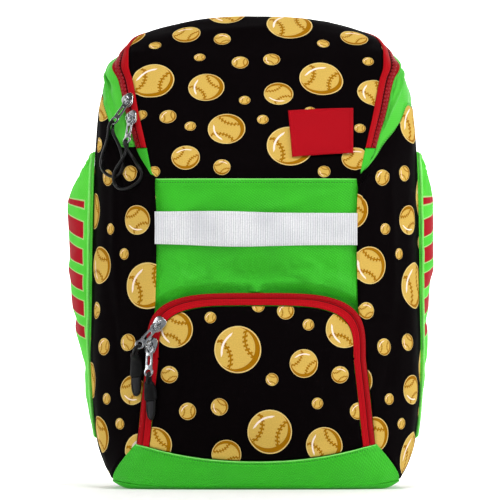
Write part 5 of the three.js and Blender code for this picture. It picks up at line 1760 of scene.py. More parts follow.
@dataclass
class Body:
    """The cloth panels: printed sides and lid, green yokes, front, boot and base, padded back."""

    panel: Sewing = Sewing(roll=1.5, roll_width=5.5, pucker=0.5, slack=1.0, slack_size=60, seed=3)
    yoke: Sewing = Sewing(roll=1.3, roll_width=4.5, pucker=0.7, slack=2.0, slack_size=34, seed=8)
    lip_left: float = 1.8
    lip_right: float = 0.8
    tongue: float = 5.0
    hem_drop: float = 3.7
    channels: tuple[float, ...] = (-0.56, 0.0, 0.56)
    rungs: tuple[float, ...] = (150.0, 262.0)
    foot: tuple[float, float] = (104.0, 46.0)
    foot_reach: float = 30.0
    back_seam: float = 9.0
    back_fill: float = 0.6
    back_ends: tuple[float, float] = (0.035, 0.965)
    hem_seam: float = 3.3
    boot_seam: float = 2.6
    yoke_seam: float = 2.6

    def build(self, finishes: Finishes) -> None:
        """Makes every panel."""
        self.finishes = finishes
        for side in Side:
            self._side(side)
        self._lid()
        self._front()
        self._boot_and_base()
        self._back()

    def _side(self, side: Side) -> None:
        """A printed side panel, its green yoke and the garage at its zip's end."""
        word = side.name.lower()
        raised = YOKE_RAISED(word, np.linspace(0, 1, 101))
        low = lambda u: SIDE_LIMITS("low", u)
        high = lambda u: SIDE_LIMITS("high", u) + np.interp(u, np.linspace(0, 1, 101), raised)
        lip = self.lip_left if side is Side.LEFT else self.lip_right

        def wall(u: Array, v: Array) -> Array:
            """The side wall, its front edge rolled a little way over the front panel."""
            level = low(u) + (high(u) - low(u)) * v
            over = (1 - smooth(u / 0.16)) * smooth((level - 0.3) / 0.3) * smooth((1.12 - level) / 0.12)
            return mirrored(FORM.side_wall(u, level) + xyz(-lip * over, -1.6 * over, 0.0), side)
        creases = [Crease(0.3, 0.62, 80, 60, 7, 1.6), Crease(0.2, 0.35, 65, 45, 6, -1.4),
                   Crease(0.12, 0.8, 20, 26, 5, -1.2)]
        offset = np.array([side.value * 37.0, 0.0])
        mirror = np.array([side.value, 1])
        flat = lambda u, v: FORM.side_flat(u, low(u) + (high(u) - low(u)) * v) * mirror + offset
        panel = Cut(wall, 110, 130, self.panel, creases, flat=flat)
        dress(panel.made(f"side_cloth_{word}"), self.finishes.print, "print_cloth", f"side_panel_{word}")
        crown = lambda u, v: mirrored(FORM.side_wall(u, high(u) + (2 - high(u)) * v), side)
        folds = [Crease(0.3, 0.3, 35, 40, 5, 2.4), Crease(0.45, 0.5, 25, 45, 6, -2.2),
                 Crease(0.15, 0.5, 60, 30, 4, 1.6), Crease(0.12, 0.3, 75, 30, 4, -1.6),
                 Crease(0.34, 0.7, 80, 30, 5, 1.6)]
        yoke = Cut(crown, 100, 90, self.yoke, folds)
        dress(yoke.made(f"yoke_cloth_{word}"), self.finishes.pale_green, "green_cloth", f"yoke_{word}")
        sew(f"yoke_stitches_{word}", yoke.beside(Edge.LOW, self.yoke_seam, 0.02, 0.98),
            self.finishes.green_thread, "green_cloth", length=1.8, pitch=2.8, radius=0.34)

        def garage(u: Array, v: Array) -> Array:
            """The short green tab over the zip's end, from the lid's edge to the zip's outer edge."""
            level = 1 + v * FORM.garage_rows / FORM.lid_rows
            return mirrored(mix(FORM.lid_edge(level), FORM.zip_outer(level), u), side)
        tab = Cut(garage, 20, 36, Sewing(roll=0.7, roll_width=2.0, slack=0.2, pucker=0.1, seed=5))
        dress(tab.made(f"garage_cloth_{word}"), self.finishes.green, "green_cloth", f"zip_garage_{word}")

    def _lid(self) -> None:
        """The printed lid."""
        def surface(u: Array, v: Array) -> Array:
            """The lid's form, its first rows drawn down and in behind the front's hem."""
            under = (1 - smooth(v / 0.05)) * smooth((1 - np.abs(2 * u - 1)) / 0.06)
            return FORM.lid(2 * u - 1, 1 + v) + xyz(0.0, 1.2 * under, -self.tongue * under)
        creases = [Crease(0.12, 0.45, 75, 40, 7, -1.2), Crease(0.86, 0.5, 100, 45, 8, -1.4),
                   Crease(0.5, 0.82, 5, 60, 9, 1.2), Crease(0.3, 0.15, 15, 40, 6, 0.8)]
        self.lid_cut = Cut(surface, 170, 130, self.panel, creases)
        dress(self.lid_cut.made("lid_cloth"), self.finishes.print, "print_cloth", "lid_panel")

    def _front(self) -> None:
        """The green front with its folded hem along the top."""
        top = 1 - self.hem_drop / FORM.hem_height
        surface = lambda u, v: FORM.front(2 * u - 1, v * top)
        sewing = Sewing(roll=1.0, roll_width=1.6, pucker=0.5, slack=1.0, slack_size=34, seed=21)
        creases = [Crease(0.53, 0.79, 0, 44, 18, 7.4), Crease(0.16, 0.9, 28, 40, 5, 1.4),
                   Crease(0.72, 0.93, 14, 46, 5, 1.2), Crease(0.3, 0.66, 68, 22, 7, 1.6),
                   Crease(0.76, 0.67, 108, 24, 7, 1.8), Crease(0.12, 0.68, 84, 30, 5, 1.2),
                   Crease(0.1, 0.665, 12, 30, 9, 2.6), Crease(0.9, 0.665, -12, 34, 10, 3.4),
                   Crease(0.5, 0.685, 0, 26, 9, -2.4)]

        def clear(cut: Cut) -> Array:
            """Share by which a place stands clear above the pocket's zip."""
            line = FORM.pocket_zip_line(np.linspace(0, 1, 200), 0.0)[:, [0, 2]]
            places = cut.form[..., [0, 2]]
            far = np.linalg.norm(places[..., None, :] - line, axis=-1).min(-1)
            across = np.clip(places[..., 0] / np.abs(line[:, 0]).max(), -1, 1)
            above = places[..., 1] > FORM.arch_top(across, 0.0)
            return smooth((far - 1.0) / 9.0) * above

        def hem(cut: Cut) -> Array:
            """The folded hem stands 1 mm proud; its stitches draw it in; the sides dip to their seams."""
            side = np.minimum(cut.from_start, cut.from_end)
            groove = np.exp(-((cut.from_high - self.hem_seam) / 1.0) ** 2)
            lie = 1.0 * smooth((9.0 - cut.from_high) / 4) - 0.5 * groove - 3.0 * (1 - smooth(side / 20))
            return lie - 3.6 * (1 - clear(cut))

        def covered(cut: Cut) -> Array:
            """The hem, the part under the webbing and the zip's edge, held while the rest settles."""
            return np.maximum(smooth((72 - cut.from_high) / 10), 1 - clear(cut))
        front = Cut(surface, 120, 160, sewing, creases, extra=hem,
                    ease=Ease(pressure=0.5, fuller=0.015, cap=2.6), sewn=covered)
        dress(front.made("front_cloth"), self.finishes.green, "green_cloth", "front_panel")
        self._hem("hem", front, self.hem_seam, 0.02)

    def _hem(self, name: str, cut: Cut, seam: float, end: float) -> None:
        """The turned edge along the top of a hem, a thin roll sunk half into the cloth whose pale colour is a
        painted highlight, and its stitches.
        """
        # The roll's pale colour paints the highlight that the fold catches.
        fold = edge_roll(f"{name}_fold", cut, Edge.HIGH, 0.5, round_ring(0.6, 8), sink=0.1)
        dress(fold, self.finishes.light_thread, "green_cloth")
        sew(f"{name}_stitches", cut.beside(Edge.HIGH, seam, end, 1 - end), self.finishes.green_thread,
            "green_cloth", length=1.5, pitch=2.3, radius=0.4)

    def _boot_and_base(self) -> None:
        """The green boot across the toe, and the base."""
        def hem(cut: Cut) -> Array:
            """The folded hem of the boot, drawn in by its stitches."""
            groove = np.exp(-((cut.from_high - self.boot_seam) / 0.9) ** 2)
            return 0.8 * smooth((7.0 - cut.from_high) / 3.0) - 0.5 * groove
        boot = Cut(lambda u, v: FORM.boot(2 * u - 1, v), 170, 50,
                   Sewing(roll=0.8, roll_width=1.6, pucker=0.6, slack=1.0, slack_size=30, seed=31),
                   spread=dense_ends, extra=hem)
        dress(boot.made("boot_cloth"), self.finishes.green, "green_cloth", "front_boot")
        self._hem("boot", boot, self.boot_seam, 0.03)
        base = Cut(lambda u, v: FORM.base(2 * u - 1, v), 110, 70,
                   Sewing(roll=0.0, pucker=0.0, slack=0.0, seed=33), spread=dense_ends, outward=DOWNWARD)
        dress(base.made("base_cloth"), self.finishes.green, "green_cloth", "base_panel")

    def _back(self) -> None:
        """The padded back, quilted by three upright seams and a cross seam."""
        def reach(cut: Cut) -> Array:
            """Millimetres from each place to the nearest sewn channel."""
            across = 2 * (cut.run_u / cut.span_u) - 1
            lines = [np.abs(across - x) * cut.span_u / 2 for x in self.channels]
            return np.minimum.reduce(lines + [np.abs(cut.from_low - z) for z in self.rungs])

        def quilt(cut: Cut) -> Array:
            """Soft valleys of a Gaussian section along each sewn channel, and one round the edge."""
            valley = np.exp(-(reach(cut) / 4.0) ** 2) + np.exp(-((cut.edge - self.back_seam) / 3.0) ** 2)
            corner = np.hypot(np.minimum(cut.from_start, cut.from_end), cut.from_high)
            return (1.6 * smooth(cut.edge / 14) - 2.2 * np.clip(valley, 0, 1) * smooth(cut.edge / 6)
                    + 1.4 * (1 - smooth(corner / 18)))

        def sewn(cut: Cut) -> Array:
            """The channels and the straps' feet, held while the pad swells between them."""
            foot = np.hypot(np.abs(cut.form[..., 0]) - self.foot[0], cut.form[..., 2] - self.foot[1])
            free = np.minimum.reduce([reach(cut), np.maximum(cut.edge - self.back_seam, 0),
                                      np.maximum(foot - self.foot_reach, 0)])
            return 1 - smooth((free - 1.0) / 3.0)
        back = Cut(lambda u, v: FORM.back(2 * u - 1, v), 150, 180,
                   Sewing(thickness=5, roll=1.5, roll_width=6, pucker=0.4, slack=0.5, slack_size=40, seed=41),
                   extra=quilt, ease=Ease(pressure=5.0, fuller=0.05, frames=20, cap=7.0), sewn=sewn)
        piece = dress(back.made("back_pad"), self.finishes.mesh, "back_padding", "back_panel")
        up = np.linspace(*self.back_ends, 400)
        rows = [back.place(0.5 + x / 2 + 0 * up, up) for x in self.channels]
        rows += [back.beside(Edge.LOW, z, *self.back_ends) for z in self.rungs]
        for number, run in enumerate(rows, 1):
            sew(f"back_stitches_{number}", run, self.finishes.black_thread, "black_webbing", **PAD_STITCH)
        for edge in Edge:
            roll = edge_roll(f"back_binding_{edge.value}", back, edge, 1.4, round_ring(1.7, 12), count=300)
            dress(roll, self.finishes.black_binding, "black_webbing")


@dataclass
class Zips:
    """The lid's and the pocket's zips: tape, welt and coil."""

    lid_coil: float = 11.2
    lid_seam: float = 6.6
    pocket_seam: float = 2.2
    pocket_ridge: float = 5.6
    coil_width: float = 4.8
    coil_pitch: float = 2.3

    def build(self, finishes: Finishes) -> None:
        """Makes both."""
        def welt(cut: Cut) -> Array:
            """A folded welt beside the lid, a groove, then the low bed of the coil."""
            fold = np.exp(-((cut.from_low - 3.6) / 3.0) ** 4)
            bed = 0.5 * np.exp(-((cut.from_low - self.lid_coil) / 2.8) ** 4)
            return 1.3 * fold + bed
        tape = Sewing(thickness=1.4, roll=0.6, roll_width=1.6, pucker=0.12, pucker_pitch=14, slack=0.15,
                      slack_size=40, seed=51)
        lid = Cut(FORM.lid_zip_line, 420, 24, tape, extra=welt)
        dress(lid.made("lid_zip_tape"), finishes.lid_tape, "zip_tape", "lid_zipper")
        coil = self._coil("lid_zip_coil", *lid.beside(Edge.LOW, self.lid_coil, count=900))
        dress(coil, finishes.coil, "zip_tape")
        self._seam("lid", lid.beside(Edge.LOW, self.lid_seam, 0.005, 0.995, 900), finishes)

        def ridge(cut: Cut) -> Array:
            """Two folds of tape that meet over the coil, with a fine groove between them."""
            off = cut.from_low - self.pocket_ridge
            return 1.0 * np.exp(-(off / 3.6) ** 4) - 0.9 * np.exp(-(off / 0.7) ** 2)
        pocket = Cut(FORM.pocket_zip_line, 360, 24, tape, extra=ridge, outward=FORWARD)
        dress(pocket.made("pocket_zip_tape"), finishes.pocket_tape, "zip_tape", "pocket_zipper")
        self._seam("pocket", pocket.beside(Edge.LOW, self.pocket_seam, 0.004, 0.996, 900), finishes)

    def _seam(self, name: str, run: tuple[Array, Array], finishes: Finishes) -> None:
        """The row of fine red stitches that holds a tape."""
        sew(f"{name}_zip_stitches", run, finishes.red_thread, "zip_tape", pitch=3.2, radius=0.3)

    def _coil(self, name: str, line: Array, normal: Array) -> bpy.types.Object:
        """The coil: small arched bars across the chain, leaning one way and the other in turn.

        Each bar is five rings of six points, raised by 1 - s^2 at its middle.
        """
        middle, out = read_along(line, normal, np.arange(1.0, walk(line)[-1] - 1.0, self.coil_pitch))
        along = unit(np.gradient(middle, axis=0))
        lean = np.where(np.arange(len(middle)) % 2 == 0, 0.35, -0.35)[:, None]
        across = unit(unit(np.cross(along, out)) + along * lean)[:, None]
        out = out[:, None]
        stations = np.linspace(-1, 1, 5)[:, None]
        raised = out * (0.75 * (1 - stations ** 2))
        bars = middle[:, None] + across * (stations * self.coil_width / 2) + raised
        return spindles(name, bars, unit(np.cross(across, out)), out, 0.72 * BAR_SWELL)


@dataclass
class FrontTrims:
    """The pocket's face, the white webbing and the bare badge."""

    band_width: float = 28.5
    band_middle: float = 229.5
    band_slack: float = 2.0
    band_seam: float = 2.6
    badge_width: float = 56.0
    badge_length: float = 46.5
    badge_across: float = 58.0
    badge_along: float = 0.244
    badge_tilt: float = 0.03

    def build(self, finishes: Finishes) -> None:
        """Makes the three."""
        self.finishes = finishes
        self._pocket()
        self._band()
        self._badge()

    def _pocket(self) -> None:
        """The printed face of the pocket."""
        def even_arch(t: Array) -> Array:
            """Shares across the arch, evenly spaced round its curve."""
            turn = np.cos(PI * t)
            return 0.5 - 0.5 * np.sign(turn) * np.abs(turn) ** (2 / FORM.arch_power)
        sewing = Sewing(roll=1.6, roll_width=6, pucker=0.6, pucker_pitch=10, slack=1.0, slack_size=55,
                        seed=61)
        creases = [Crease(0.2, 0.55, 80, 34, 6, -1.5), Crease(0.8, 0.6, 100, 34, 6, -1.3),
                   Crease(0.5, 0.1, 0, 70, 6, -1.2)]
        flat = lambda u, v: FORM.pocket(2 * u - 1, v)[..., [0, 2]] + np.array([46.0, 61.0])
        cut = Cut(lambda u, v: FORM.pocket(2 * u - 1, v), 170, 120, sewing, creases, spread=even_arch,
                  outward=FORWARD, flat=flat)
        dress(cut.made("pocket_cloth"), self.finishes.print, "print_cloth", "pocket_panel")

    def _band(self) -> None:
        """The webbing across the front, with fine upright ribs 2 mm apart."""
        lift = FORM.tape + FORM.gap

        def surface(u: Array, v: Array) -> Array:
            """The front's plane, stood off by the tape, some slack and the fullness under it."""
            full = np.exp(-((u - 0.5) / 0.26) ** 2)
            wide = self.band_width * (1 + 0.1 * np.exp(-((u - 0.36) / 0.24) ** 2))
            z = self.band_middle + wide * (v - 0.5) + 0.5 - 1.2 * u - 0.7 * full
            x = (2 * u - 1) * (FORM.seam_reach(z) - 0.6)
            out = lift + self.band_slack * np.sin(PI * u) ** 0.5 + full * (3.6 + 2.0 * (1 - v))
            return xyz(x, FORM.front_y(x, z) - out, z)

        def ribs(cut: Cut) -> Array:
            """Ribs as a sine across the webbing, flat at its selvedges."""
            return 0.16 * np.sin(2 * PI * cut.run_u / 2.0) * smooth(cut.edge / 1.6)
        sewing = Sewing(thickness=1.4, roll=0.5, roll_width=1.2, pucker=0, slack=0.3, slack_size=40, seed=71)
        band = Cut(surface, 560, 20, sewing, outward=FORWARD, extra=ribs)
        dress(band.made("band_webbing"), self.finishes.webbing, "white_webbing", "webbing_band")
        for edge in (Edge.LOW, Edge.HIGH):
            run = band.beside(edge, self.band_seam, 0.01, 0.99)
            sew(f"band_stitches_{edge.value}", run, self.finishes.white_thread, "white_webbing", pitch=3.4,
                radius=0.3)

    def _badge(self) -> None:
        """The bare sewn badge with a satin-stitched border."""
        lift = FORM.tape + FORM.gap + 0.2

        def surface(u: Array, v: Array) -> Array:
            """The lid's surface, lifted square to it."""
            level = 1 + self.badge_along + (self.badge_length / 175) * (v - 0.5) + self.badge_tilt * (u - 0.5)
            x = self.badge_across + self.badge_width * (1 + 0.07 * (v - 0.5)) * (u - 0.5) + 1.5 * (0.5 - v)
            return FORM.lid(x / FORM.lid_edge(level)[..., 0], level) + lift * OFF_THE_LID

        def border(cut: Cut) -> Array:
            """A raised border 2.6 mm wide."""
            return 0.7 * np.exp(-((cut.edge - 1.7) / 1.3) ** 4)
        sewing = Sewing(thickness=1.4, roll=0.6, roll_width=1.2, pucker=0, slack=0.25, slack_size=30, seed=81)
        badge = Cut(surface, 90, 90, sewing, outward=OFF_THE_LID, extra=border)
        dress(badge.made("badge_cloth"), self.finishes.patch, "red_patch", "front_patch")


@dataclass
class Sleeves:
    """The two bat sleeves with their bindings and gathered rims."""

    piping: float = 2.4
    rim_width: float = 8.0
    rim_roll: float = 2.2

    def build(self, finishes: Finishes) -> None:
        """Makes both."""
        for side in Side:
            self._sleeve(side, finishes)

    def _sleeve(self, side: Side, finishes: Finishes) -> None:
        """One sleeve: its cloth, the binding up its front edge and the elastic rim."""
        word = side.name.lower()

        def gathers(cut: Cut) -> Array:
            """Pleats that fan down from the elastic rim: a sine across, falling with depth, and the
            groove of the seam under the rim."""
            wave = np.sin(2 * PI * cut.run_u / 7.0 + 1.6 * np.sin(cut.run_v / 11 + cut.run_u / 9))
            seam = np.exp(-((cut.from_high - self.rim_width) / 1.2) ** 2)
            return (1.3 * wave * np.exp(-cut.from_high / 15) - 1.6 * seam) * smooth(cut.edge / 3)
        creases = [Crease(0.4, 0.45, 20, 30, 6, -2.4), Crease(0.5, 0.62, -15, 34, 7, 1.6),
                   Crease(0.45, 0.28, 12, 30, 6, -2.0), Crease(0.55, 0.15, -10, 26, 6, 1.2)]
        cut = Cut(lambda u, v: FORM.sleeve(side, u, v), 70, 150,
                  Sewing(roll=0.8, roll_width=4, pucker=0.5, slack=1.2, slack_size=42, seed=91 + side.value),
                  creases, spread=dense_ends, outward=np.array([float(side.value), 0.0, 0.0]), extra=gathers)
        inner = cut.outer - np.array([side.value * FORM.cloth, 0.0, 0.0])
        dress(cut.made(f"sleeve_cloth_{word}", inner), finishes.chevrons, "green_cloth", f"bat_sleeve_{word}")
        for name, edge, width in (("piping", Edge.START, self.piping), ("rim", Edge.HIGH, self.rim_roll),
                                  ("back_piping", Edge.END, self.piping)):
            ring = round_ring(width / 2, 12)
            roll = edge_roll(f"sleeve_{name}_{word}", cut, edge, 0.7, ring, end=0.005, count=240)
            dress(roll, finishes.binding, "green_cloth")


@dataclass
class Harness:
    """Padded shoulder straps, their webbing and buckles, and the haul loop."""

    strap_width: float = 50.0
    strap_thickness: float = 8.0
    strap_top: float = 362.0
    strap_spacing: float = 84.0
    strap_reach: float = 50.0
    webbing_width: float = 25.0
    buckle_length: float = 26.0
    buckle_thickness: float = 4.0
    buckle_slot: float = 3.4
    anchor_height: float = 34.0
    anchor_spacing: float = 212.0
    haul_width: float = 18.0
    haul_length: float = 92.0
    haul_bow: float = 24.0
    haul_height: float = 384.0
    haul_tack_length: float = 15.0
    haul_tack_lift: float = 1.3
    haul_tacks: tuple[int, ...] = (4, 8, -9, -5)
    tack_length: float = 17.0
    tacks: tuple[int, ...] = (66, 84, 102, 115)
    keeper_rows: tuple[int, int] = (62, 118)
    keeper_width: float = 20.0
    keeper_thickness: float = 1.5
    fill: float = 0.7
    ease: Ease = Ease(pressure=4.0, fuller=0.06, cap=2.6)

    def build(self, finishes: Finishes) -> None:
        """Makes both straps and the haul loop."""
        for side in Side:
            self._strap(side, finishes)
        self._haul(finishes)

    def _curve(self, points: Array, count: int) -> Array:
        """A smooth line through points: Catmull-Rom spans, then evenly spaced."""
        padded = np.concatenate([[2 * points[0] - points[1]], points, [2 * points[-1] - points[-2]]])
        t = np.linspace(0, 1, 24, endpoint=False)[None, :, None]
        a, b, c, d = (padded[i:len(padded) - 3 + i][:, None] for i in range(4))
        spans = 0.5 * (2 * b + (c - a) * t + (2 * a - 5 * b + 4 * c - d) * t ** 2
                       + (3 * b - a - 3 * c + d) * t ** 3)
        return resampled(np.concatenate([spans.reshape(-1, 3), points[-1:]]), count)

    def _strap(self, side: Side, finishes: Finishes) -> None:
        """One strap: its settled pad with keeper, tacks, bindings and stitches, then what hangs from it."""
        word, sign = side.name.lower(), side.value
        t = np.linspace(0, 1, 13)
        x = STRAP_ROUTE("x", t) * self.strap_spacing / 2
        z = STRAP_ROUTE("up", t) * self.strap_top
        lift = 2.1 + self.strap_reach * (STRAP_ROUTE("reach", t) - STRAP_ROUTE("reach", 0.0))
        knots = xyz(sign * x, FORM.back_y(x, z) + lift, z)
        line = self._curve(knots, 120)
        share = walk(line) / walk(line)[-1]
        frames = line_frames(line, TO_THE_RIGHT)
        width = self.strap_width - (self.strap_width - self.webbing_width - 3) * smooth((share - 0.7) / 0.3)
        thick = 3 + (self.strap_thickness - 3) * smooth(share / 0.12) * smooth((1 - share) / 0.1)
        ring = flat_ring(1.0, 1.0, 40, 2.6)
        pad = carried(f"strap_pad_{word}", line, frames, ring, scale=np.stack([width - 2, thick], -1))
        at_edge = smooth((np.abs(2 * ring[:, 0]) - 0.7) / 0.2)[None, :]
        at_end = 1 - smooth((np.minimum(share, 1 - share) - 0.02) / 0.05)[:, None]
        beside = smooth((0.62 - np.abs(2 * ring[:, 0])) / 0.16)
        under = beside[None, :] * smooth((share - 0.47) / 0.05)[:, None]
        held = np.maximum(np.maximum(at_edge, at_end), under)
        settle(pad, np.append(held.ravel(), [1.0, 1.0]), self.ease)
        dress(pad, finishes.mesh, "back_padding", f"shoulder_strap_{word}")
        face = line - frames[2] * (thick / 2 + 0.9)[:, None]
        lower = face[slice(*self.keeper_rows)]
        keeper = carried(f"strap_keeper_{word}", lower, line_frames(lower, TO_THE_RIGHT),
                         flat_ring(self.keeper_width, self.keeper_thickness))
        dress(keeper, finishes.black_webbing, "black_webbing")
        for number, place in enumerate(self.tacks, 1):
            self._tack(f"strap_tack_{word}_{number}", face[place] - frames[2][place], frames[1][place],
                       self.tack_length, finishes)
        for edge in (-1, 1):
            rim = line + frames[1] * (edge * (width / 2 - 2.0))[:, None]
            bind = carried(f"strap_binding_{word}_{'outer' if edge == sign else 'inner'}", rim, frames,
                           flat_ring(4.4, 4.6, 14, 2.6))
            dress(bind, finishes.black_binding, "black_webbing")
            out_by = (edge * (width / 2 - 6.5))[:, None]
            inside = line + frames[1] * out_by - frames[2] * (thick / 2 - 0.5)[:, None]
            sew(bind.name.replace("binding", "stitches"), (inside[6:-4], -frames[2][6:-4]),
                finishes.black_thread, "black_webbing", **PAD_STITCH)
        self._hanging(side, knots[-1], unit(np.diff(line[-3:], axis=0).mean(0)), finishes)

    def _hanging(self, side: Side, end: Array, down: Array, finishes: Finishes) -> None:
        """The buckle below a strap's end, and the webbing from it to its anchor.

        Args:
            side: which strap.
            end: where the strap's pad ends.
            down: the way the strap runs there.
            finishes: the materials.
        """
        word, sign = side.name.lower(), side.value
        out = np.cross(down, np.array([float(sign), 0.0, 0.0])) * sign
        middle = end + down * (self.buckle_length / 2 + FORM.gap)
        self._buckle(f"strap_buckle_body_{word}", middle, down, out, finishes, f"strap_buckle_{word}")
        anchor_x = sign * self.anchor_spacing / 2
        half = self.anchor_spacing / 2
        start = end + down * (self.buckle_length + 2 * FORM.gap)
        foot = np.array([anchor_x, FORM.back_y(half, self.anchor_height) + FORM.tape / 2 + FORM.gap,
                         self.anchor_height])
        rise = self.anchor_height + 24
        ankle = np.array([anchor_x - sign * 2, FORM.back_y(half - 2, rise) + 2.2, rise])
        path = self._curve(np.array([start, start + down * 9, mix(start, foot, 0.42) + [0, 3, 0],
                                     mix(start, ankle, 0.82) + [0, 1, 0], ankle, foot]), 90)
        webbing = carried(f"strap_web_{word}", path, line_frames(path, TO_THE_RIGHT),
                          flat_ring(self.webbing_width, FORM.tape))
        dress(webbing, finishes.black_webbing, "black_webbing", f"strap_webbing_{word}")

    def _tack(self, name: str, middle: Array, across: Array, length: float, finishes: Finishes) -> None:
        """A bar-tack: a short close-sewn bar across webbing."""
        line = middle + across * np.linspace(-length / 2, length / 2, 12)[:, None]
        bar = carried(name, line, line_frames(line, UPWARD), flat_ring(2.2, 1.0, 12, 2.6))
        dress(bar, finishes.black_thread, "black_webbing")

    def _buckle(self, name: str, middle: Array, down: Array, out: Array, finishes: Finishes,
                node: str) -> None:
        """A moulded ladder lock: a rounded plate with two slots."""
        width, length = self.webbing_width + 8, self.buckle_length
        box = lambda w, h, y: flat_ring(w, h, 48, 9.0) + np.array([0.0, y])
        outlines = [box(width, length, 0), box(self.webbing_width + 1, self.buckle_slot, -length * 0.22),
                    box(self.webbing_width + 1, self.buckle_slot, length * 0.24)]
        mesh = outline_plate(name, outlines, self.buckle_thickness, 0.7)
        z = unit(out)
        y = unit(down - z * np.dot(down, z))
        dress(set_in_frame(name, mesh, frame_of(y, z, middle)), finishes.acetal, "buckle_plastic", node)

    def _haul(self, finishes: Finishes) -> None:
        """The haul loop, bowed out by a half sine to the power 1.6."""
        t = np.linspace(0, 1, 90)
        x = (2 * t - 1) * self.haul_length / 2
        bow = self.haul_bow * np.clip(np.sin(PI * t), 0, 1) ** 1.6
        y = FORM.back_y(np.abs(x), self.haul_height) + FORM.tape / 2 + FORM.gap + 0.3 + bow
        line = xyz(x, y, self.haul_height)
        loop = carried("haul_web", line, line_frames(line, UPWARD),
                       flat_ring(self.haul_width, 2.0))
        dress(loop, finishes.black_webbing, "black_webbing", "haul_loop")
        for number, place in enumerate(self.haul_tacks, 1):
            self._tack(f"haul_tack_{number}", line[place] - FORWARD * self.haul_tack_lift, UPWARD,
                       self.haul_tack_length, finishes)


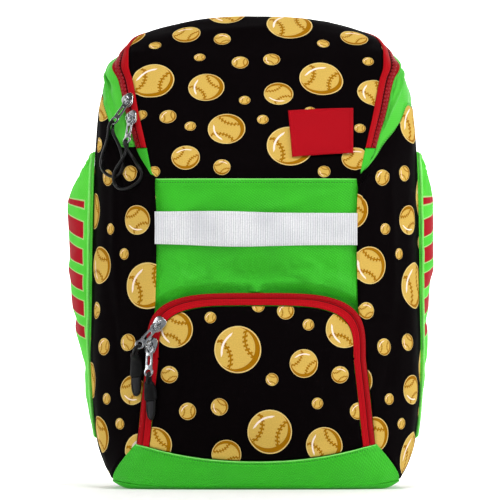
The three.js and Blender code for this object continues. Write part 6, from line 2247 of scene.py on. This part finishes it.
@dataclass
class ZipHeads:
    """Four plated sliders with their pulls."""

    width: float = 11.4
    length: float = 14.4
    thickness: float = 2.4
    bridge_rise: float = 2.8
    bridge_bar: float = 1.4
    bridge_post: float = 3.6
    pull_length: float = 20.0
    pull_thickness: float = 1.3
    pull_ring: float = 4.4
    pull_hole: float = 2.3
    shank_half: float = 3.3
    slot_width: float = 2.6
    pull_tilt: float = 6.0
    heads: tuple[tuple[str, bool, float, tuple[float, float]], ...] = (
        ("lid_upper", True, 0.098, (-0.35, -0.94)), ("lid_lower", True, 0.06, (0.25, -0.97)),
        ("pocket_upper", False, 0.286, (-0.66, -0.75)), ("pocket_lower", False, 0.2214, (0.05, -0.99)),
    )

    def build(self, finishes: Finishes) -> None:
        """Makes each head in its frame on the zip."""
        for name, on_lid, along, heading in self.heads:
            surface = FORM.lid_zip_line if on_lid else SOLID_ARCH.pocket_zip_line
            head = self._head_frame(surface, along)
            self._slider(name, head, finishes)
            self._pull(name, self._pull_frame(head, heading), finishes)

    def _head_frame(self, surface: Surface, along: float) -> Array:
        """y up the zip, z away from the cloth, at the middle of the tape."""
        eps = 0.004
        at = surface(along, 0.5)
        up = surface(along + eps, 0.5) - surface(along - eps, 0.5)
        normal = unit(np.cross(up, surface(along, 0.9) - surface(along, 0.1)))
        normal = -normal if np.dot(normal, FORM.inward(at)) > 0 else normal
        return frame_of(unit(up - normal * np.dot(up, normal)), normal, at)

    def _pull_frame(self, head: Array, heading: tuple[float, float]) -> Array:
        """The pull's frame: moved to the bridge, turned to its heading, tilted off the cloth."""
        local = head[:3, :3].T @ unit(np.array([heading[0], 0.0, heading[1]]))
        turn, tilt = math.atan2(local[0], -local[1]), math.radians(-self.pull_tilt)
        rest = FORM.coil + FORM.gap + self.thickness + self.bridge_rise / 2
        shift, spin, lean = np.eye(4), np.eye(4), np.eye(4)
        shift[:3, 3] = (0.0, -self.bridge_post, rest)
        spin[:2, :2] = [[math.cos(turn), -math.sin(turn)], [math.sin(turn), math.cos(turn)]]
        lean[1:3, 1:3] = [[math.cos(tilt), -math.sin(tilt)], [math.sin(tilt), math.cos(tilt)]]
        return head @ shift @ spin @ lean

    def _slider(self, name: str, matrix: Array, finishes: Finishes) -> None:
        """The slider's waisted body and its bridge."""
        half, long = self.width / 2, self.length / 2
        corners = np.array([[-half * 0.6, -long], [half * 0.6, -long], [half, long * 0.1], [half, long * 0.7],
                            [half * 0.55, long], [-half * 0.55, long], [-half, long * 0.7],
                            [-half, long * 0.1]])
        for _ in range(3):
            after = np.roll(corners, -1, 0)
            pairs = [0.75 * corners + 0.25 * after, 0.25 * corners + 0.75 * after]
            corners = np.stack(pairs, 1).reshape(-1, 2)
        body = outline_plate(f"{name}_slider_body", [corners * 1.05], self.thickness, 0.6)
        raised = matrix.copy()
        raised[:3, 3] += matrix[:3, 2] * (FORM.coil + FORM.gap + self.thickness / 2)
        dress(set_in_frame(f"{name}_slider_body", body, raised), finishes.chrome, "zip_metal",
              f"{name}_slider")
        turn = np.linspace(0, PI, 40)
        local = xyz(0.0, -self.bridge_post * np.sign(np.cos(turn)) * np.abs(np.cos(turn)) ** 0.5,
                    FORM.coil + FORM.gap + self.thickness - 0.6
                    + (self.bridge_rise + self.bridge_bar / 2 + 0.6) * np.abs(np.sin(turn)) ** 0.6)
        line = resampled(local @ matrix[:3, :3].T + matrix[:3, 3], 40)
        bridge = carried(f"{name}_slider_bridge", line, line_frames(line, matrix[:3, 0]),
                         flat_ring(1.9, 1.4, 16, 3.0))
        dress(bridge, finishes.chrome, "zip_metal")

    def _pull(self, name: str, matrix: Array, finishes: Finishes) -> None:
        """A plate with an eye at each end and a slot down its shank, thinner at its waist."""
        r, length = self.pull_ring, self.pull_length
        turn = np.linspace(0, PI, 70)
        y = -length / 2 + (length / 2 + r) * np.cos(turn)
        ends = tuple(np.sqrt(np.clip(r ** 2 - (y + along) ** 2, 0, None)) for along in (0.0, length))
        shank = np.where((y < 0) & (y > -length), self.shank_half, 0.0)
        half = np.maximum.reduce([ends[0], ends[1], shank])
        outer = np.concatenate([np.stack([half, y], -1), np.stack([-half, y], -1)[::-1][1:-1]])
        hole = lambda at: round_ring(self.pull_hole, 32) + np.array([0.0, at])
        slot = flat_ring(self.slot_width, length * 0.42, 28, 3.0) + np.array([0.0, -length * 0.48])
        mesh = outline_plate(f"{name}_pull_plate", [outer, hole(0.0), hole(-length), slot],
                             self.pull_thickness, 0.35)
        dress(set_in_frame(f"{name}_pull_plate", mesh, matrix), finishes.chrome, "zip_metal", f"{name}_pull")


def main() -> None:
    """Builds the bag: the room, the cords, then each assembly."""
    logging.basicConfig(level=logging.INFO, format="%(message)s")
    Studio().build()
    finishes = Finishes()
    CordLoops().build(finishes)
    for assembly in (Body(), Zips(), FrontTrims(), Sleeves(), Harness(), ZipHeads()):
        assembly.build(finishes)
        log.info("%s is built", type(assembly).__name__)


if __name__ == "__main__":
    main()
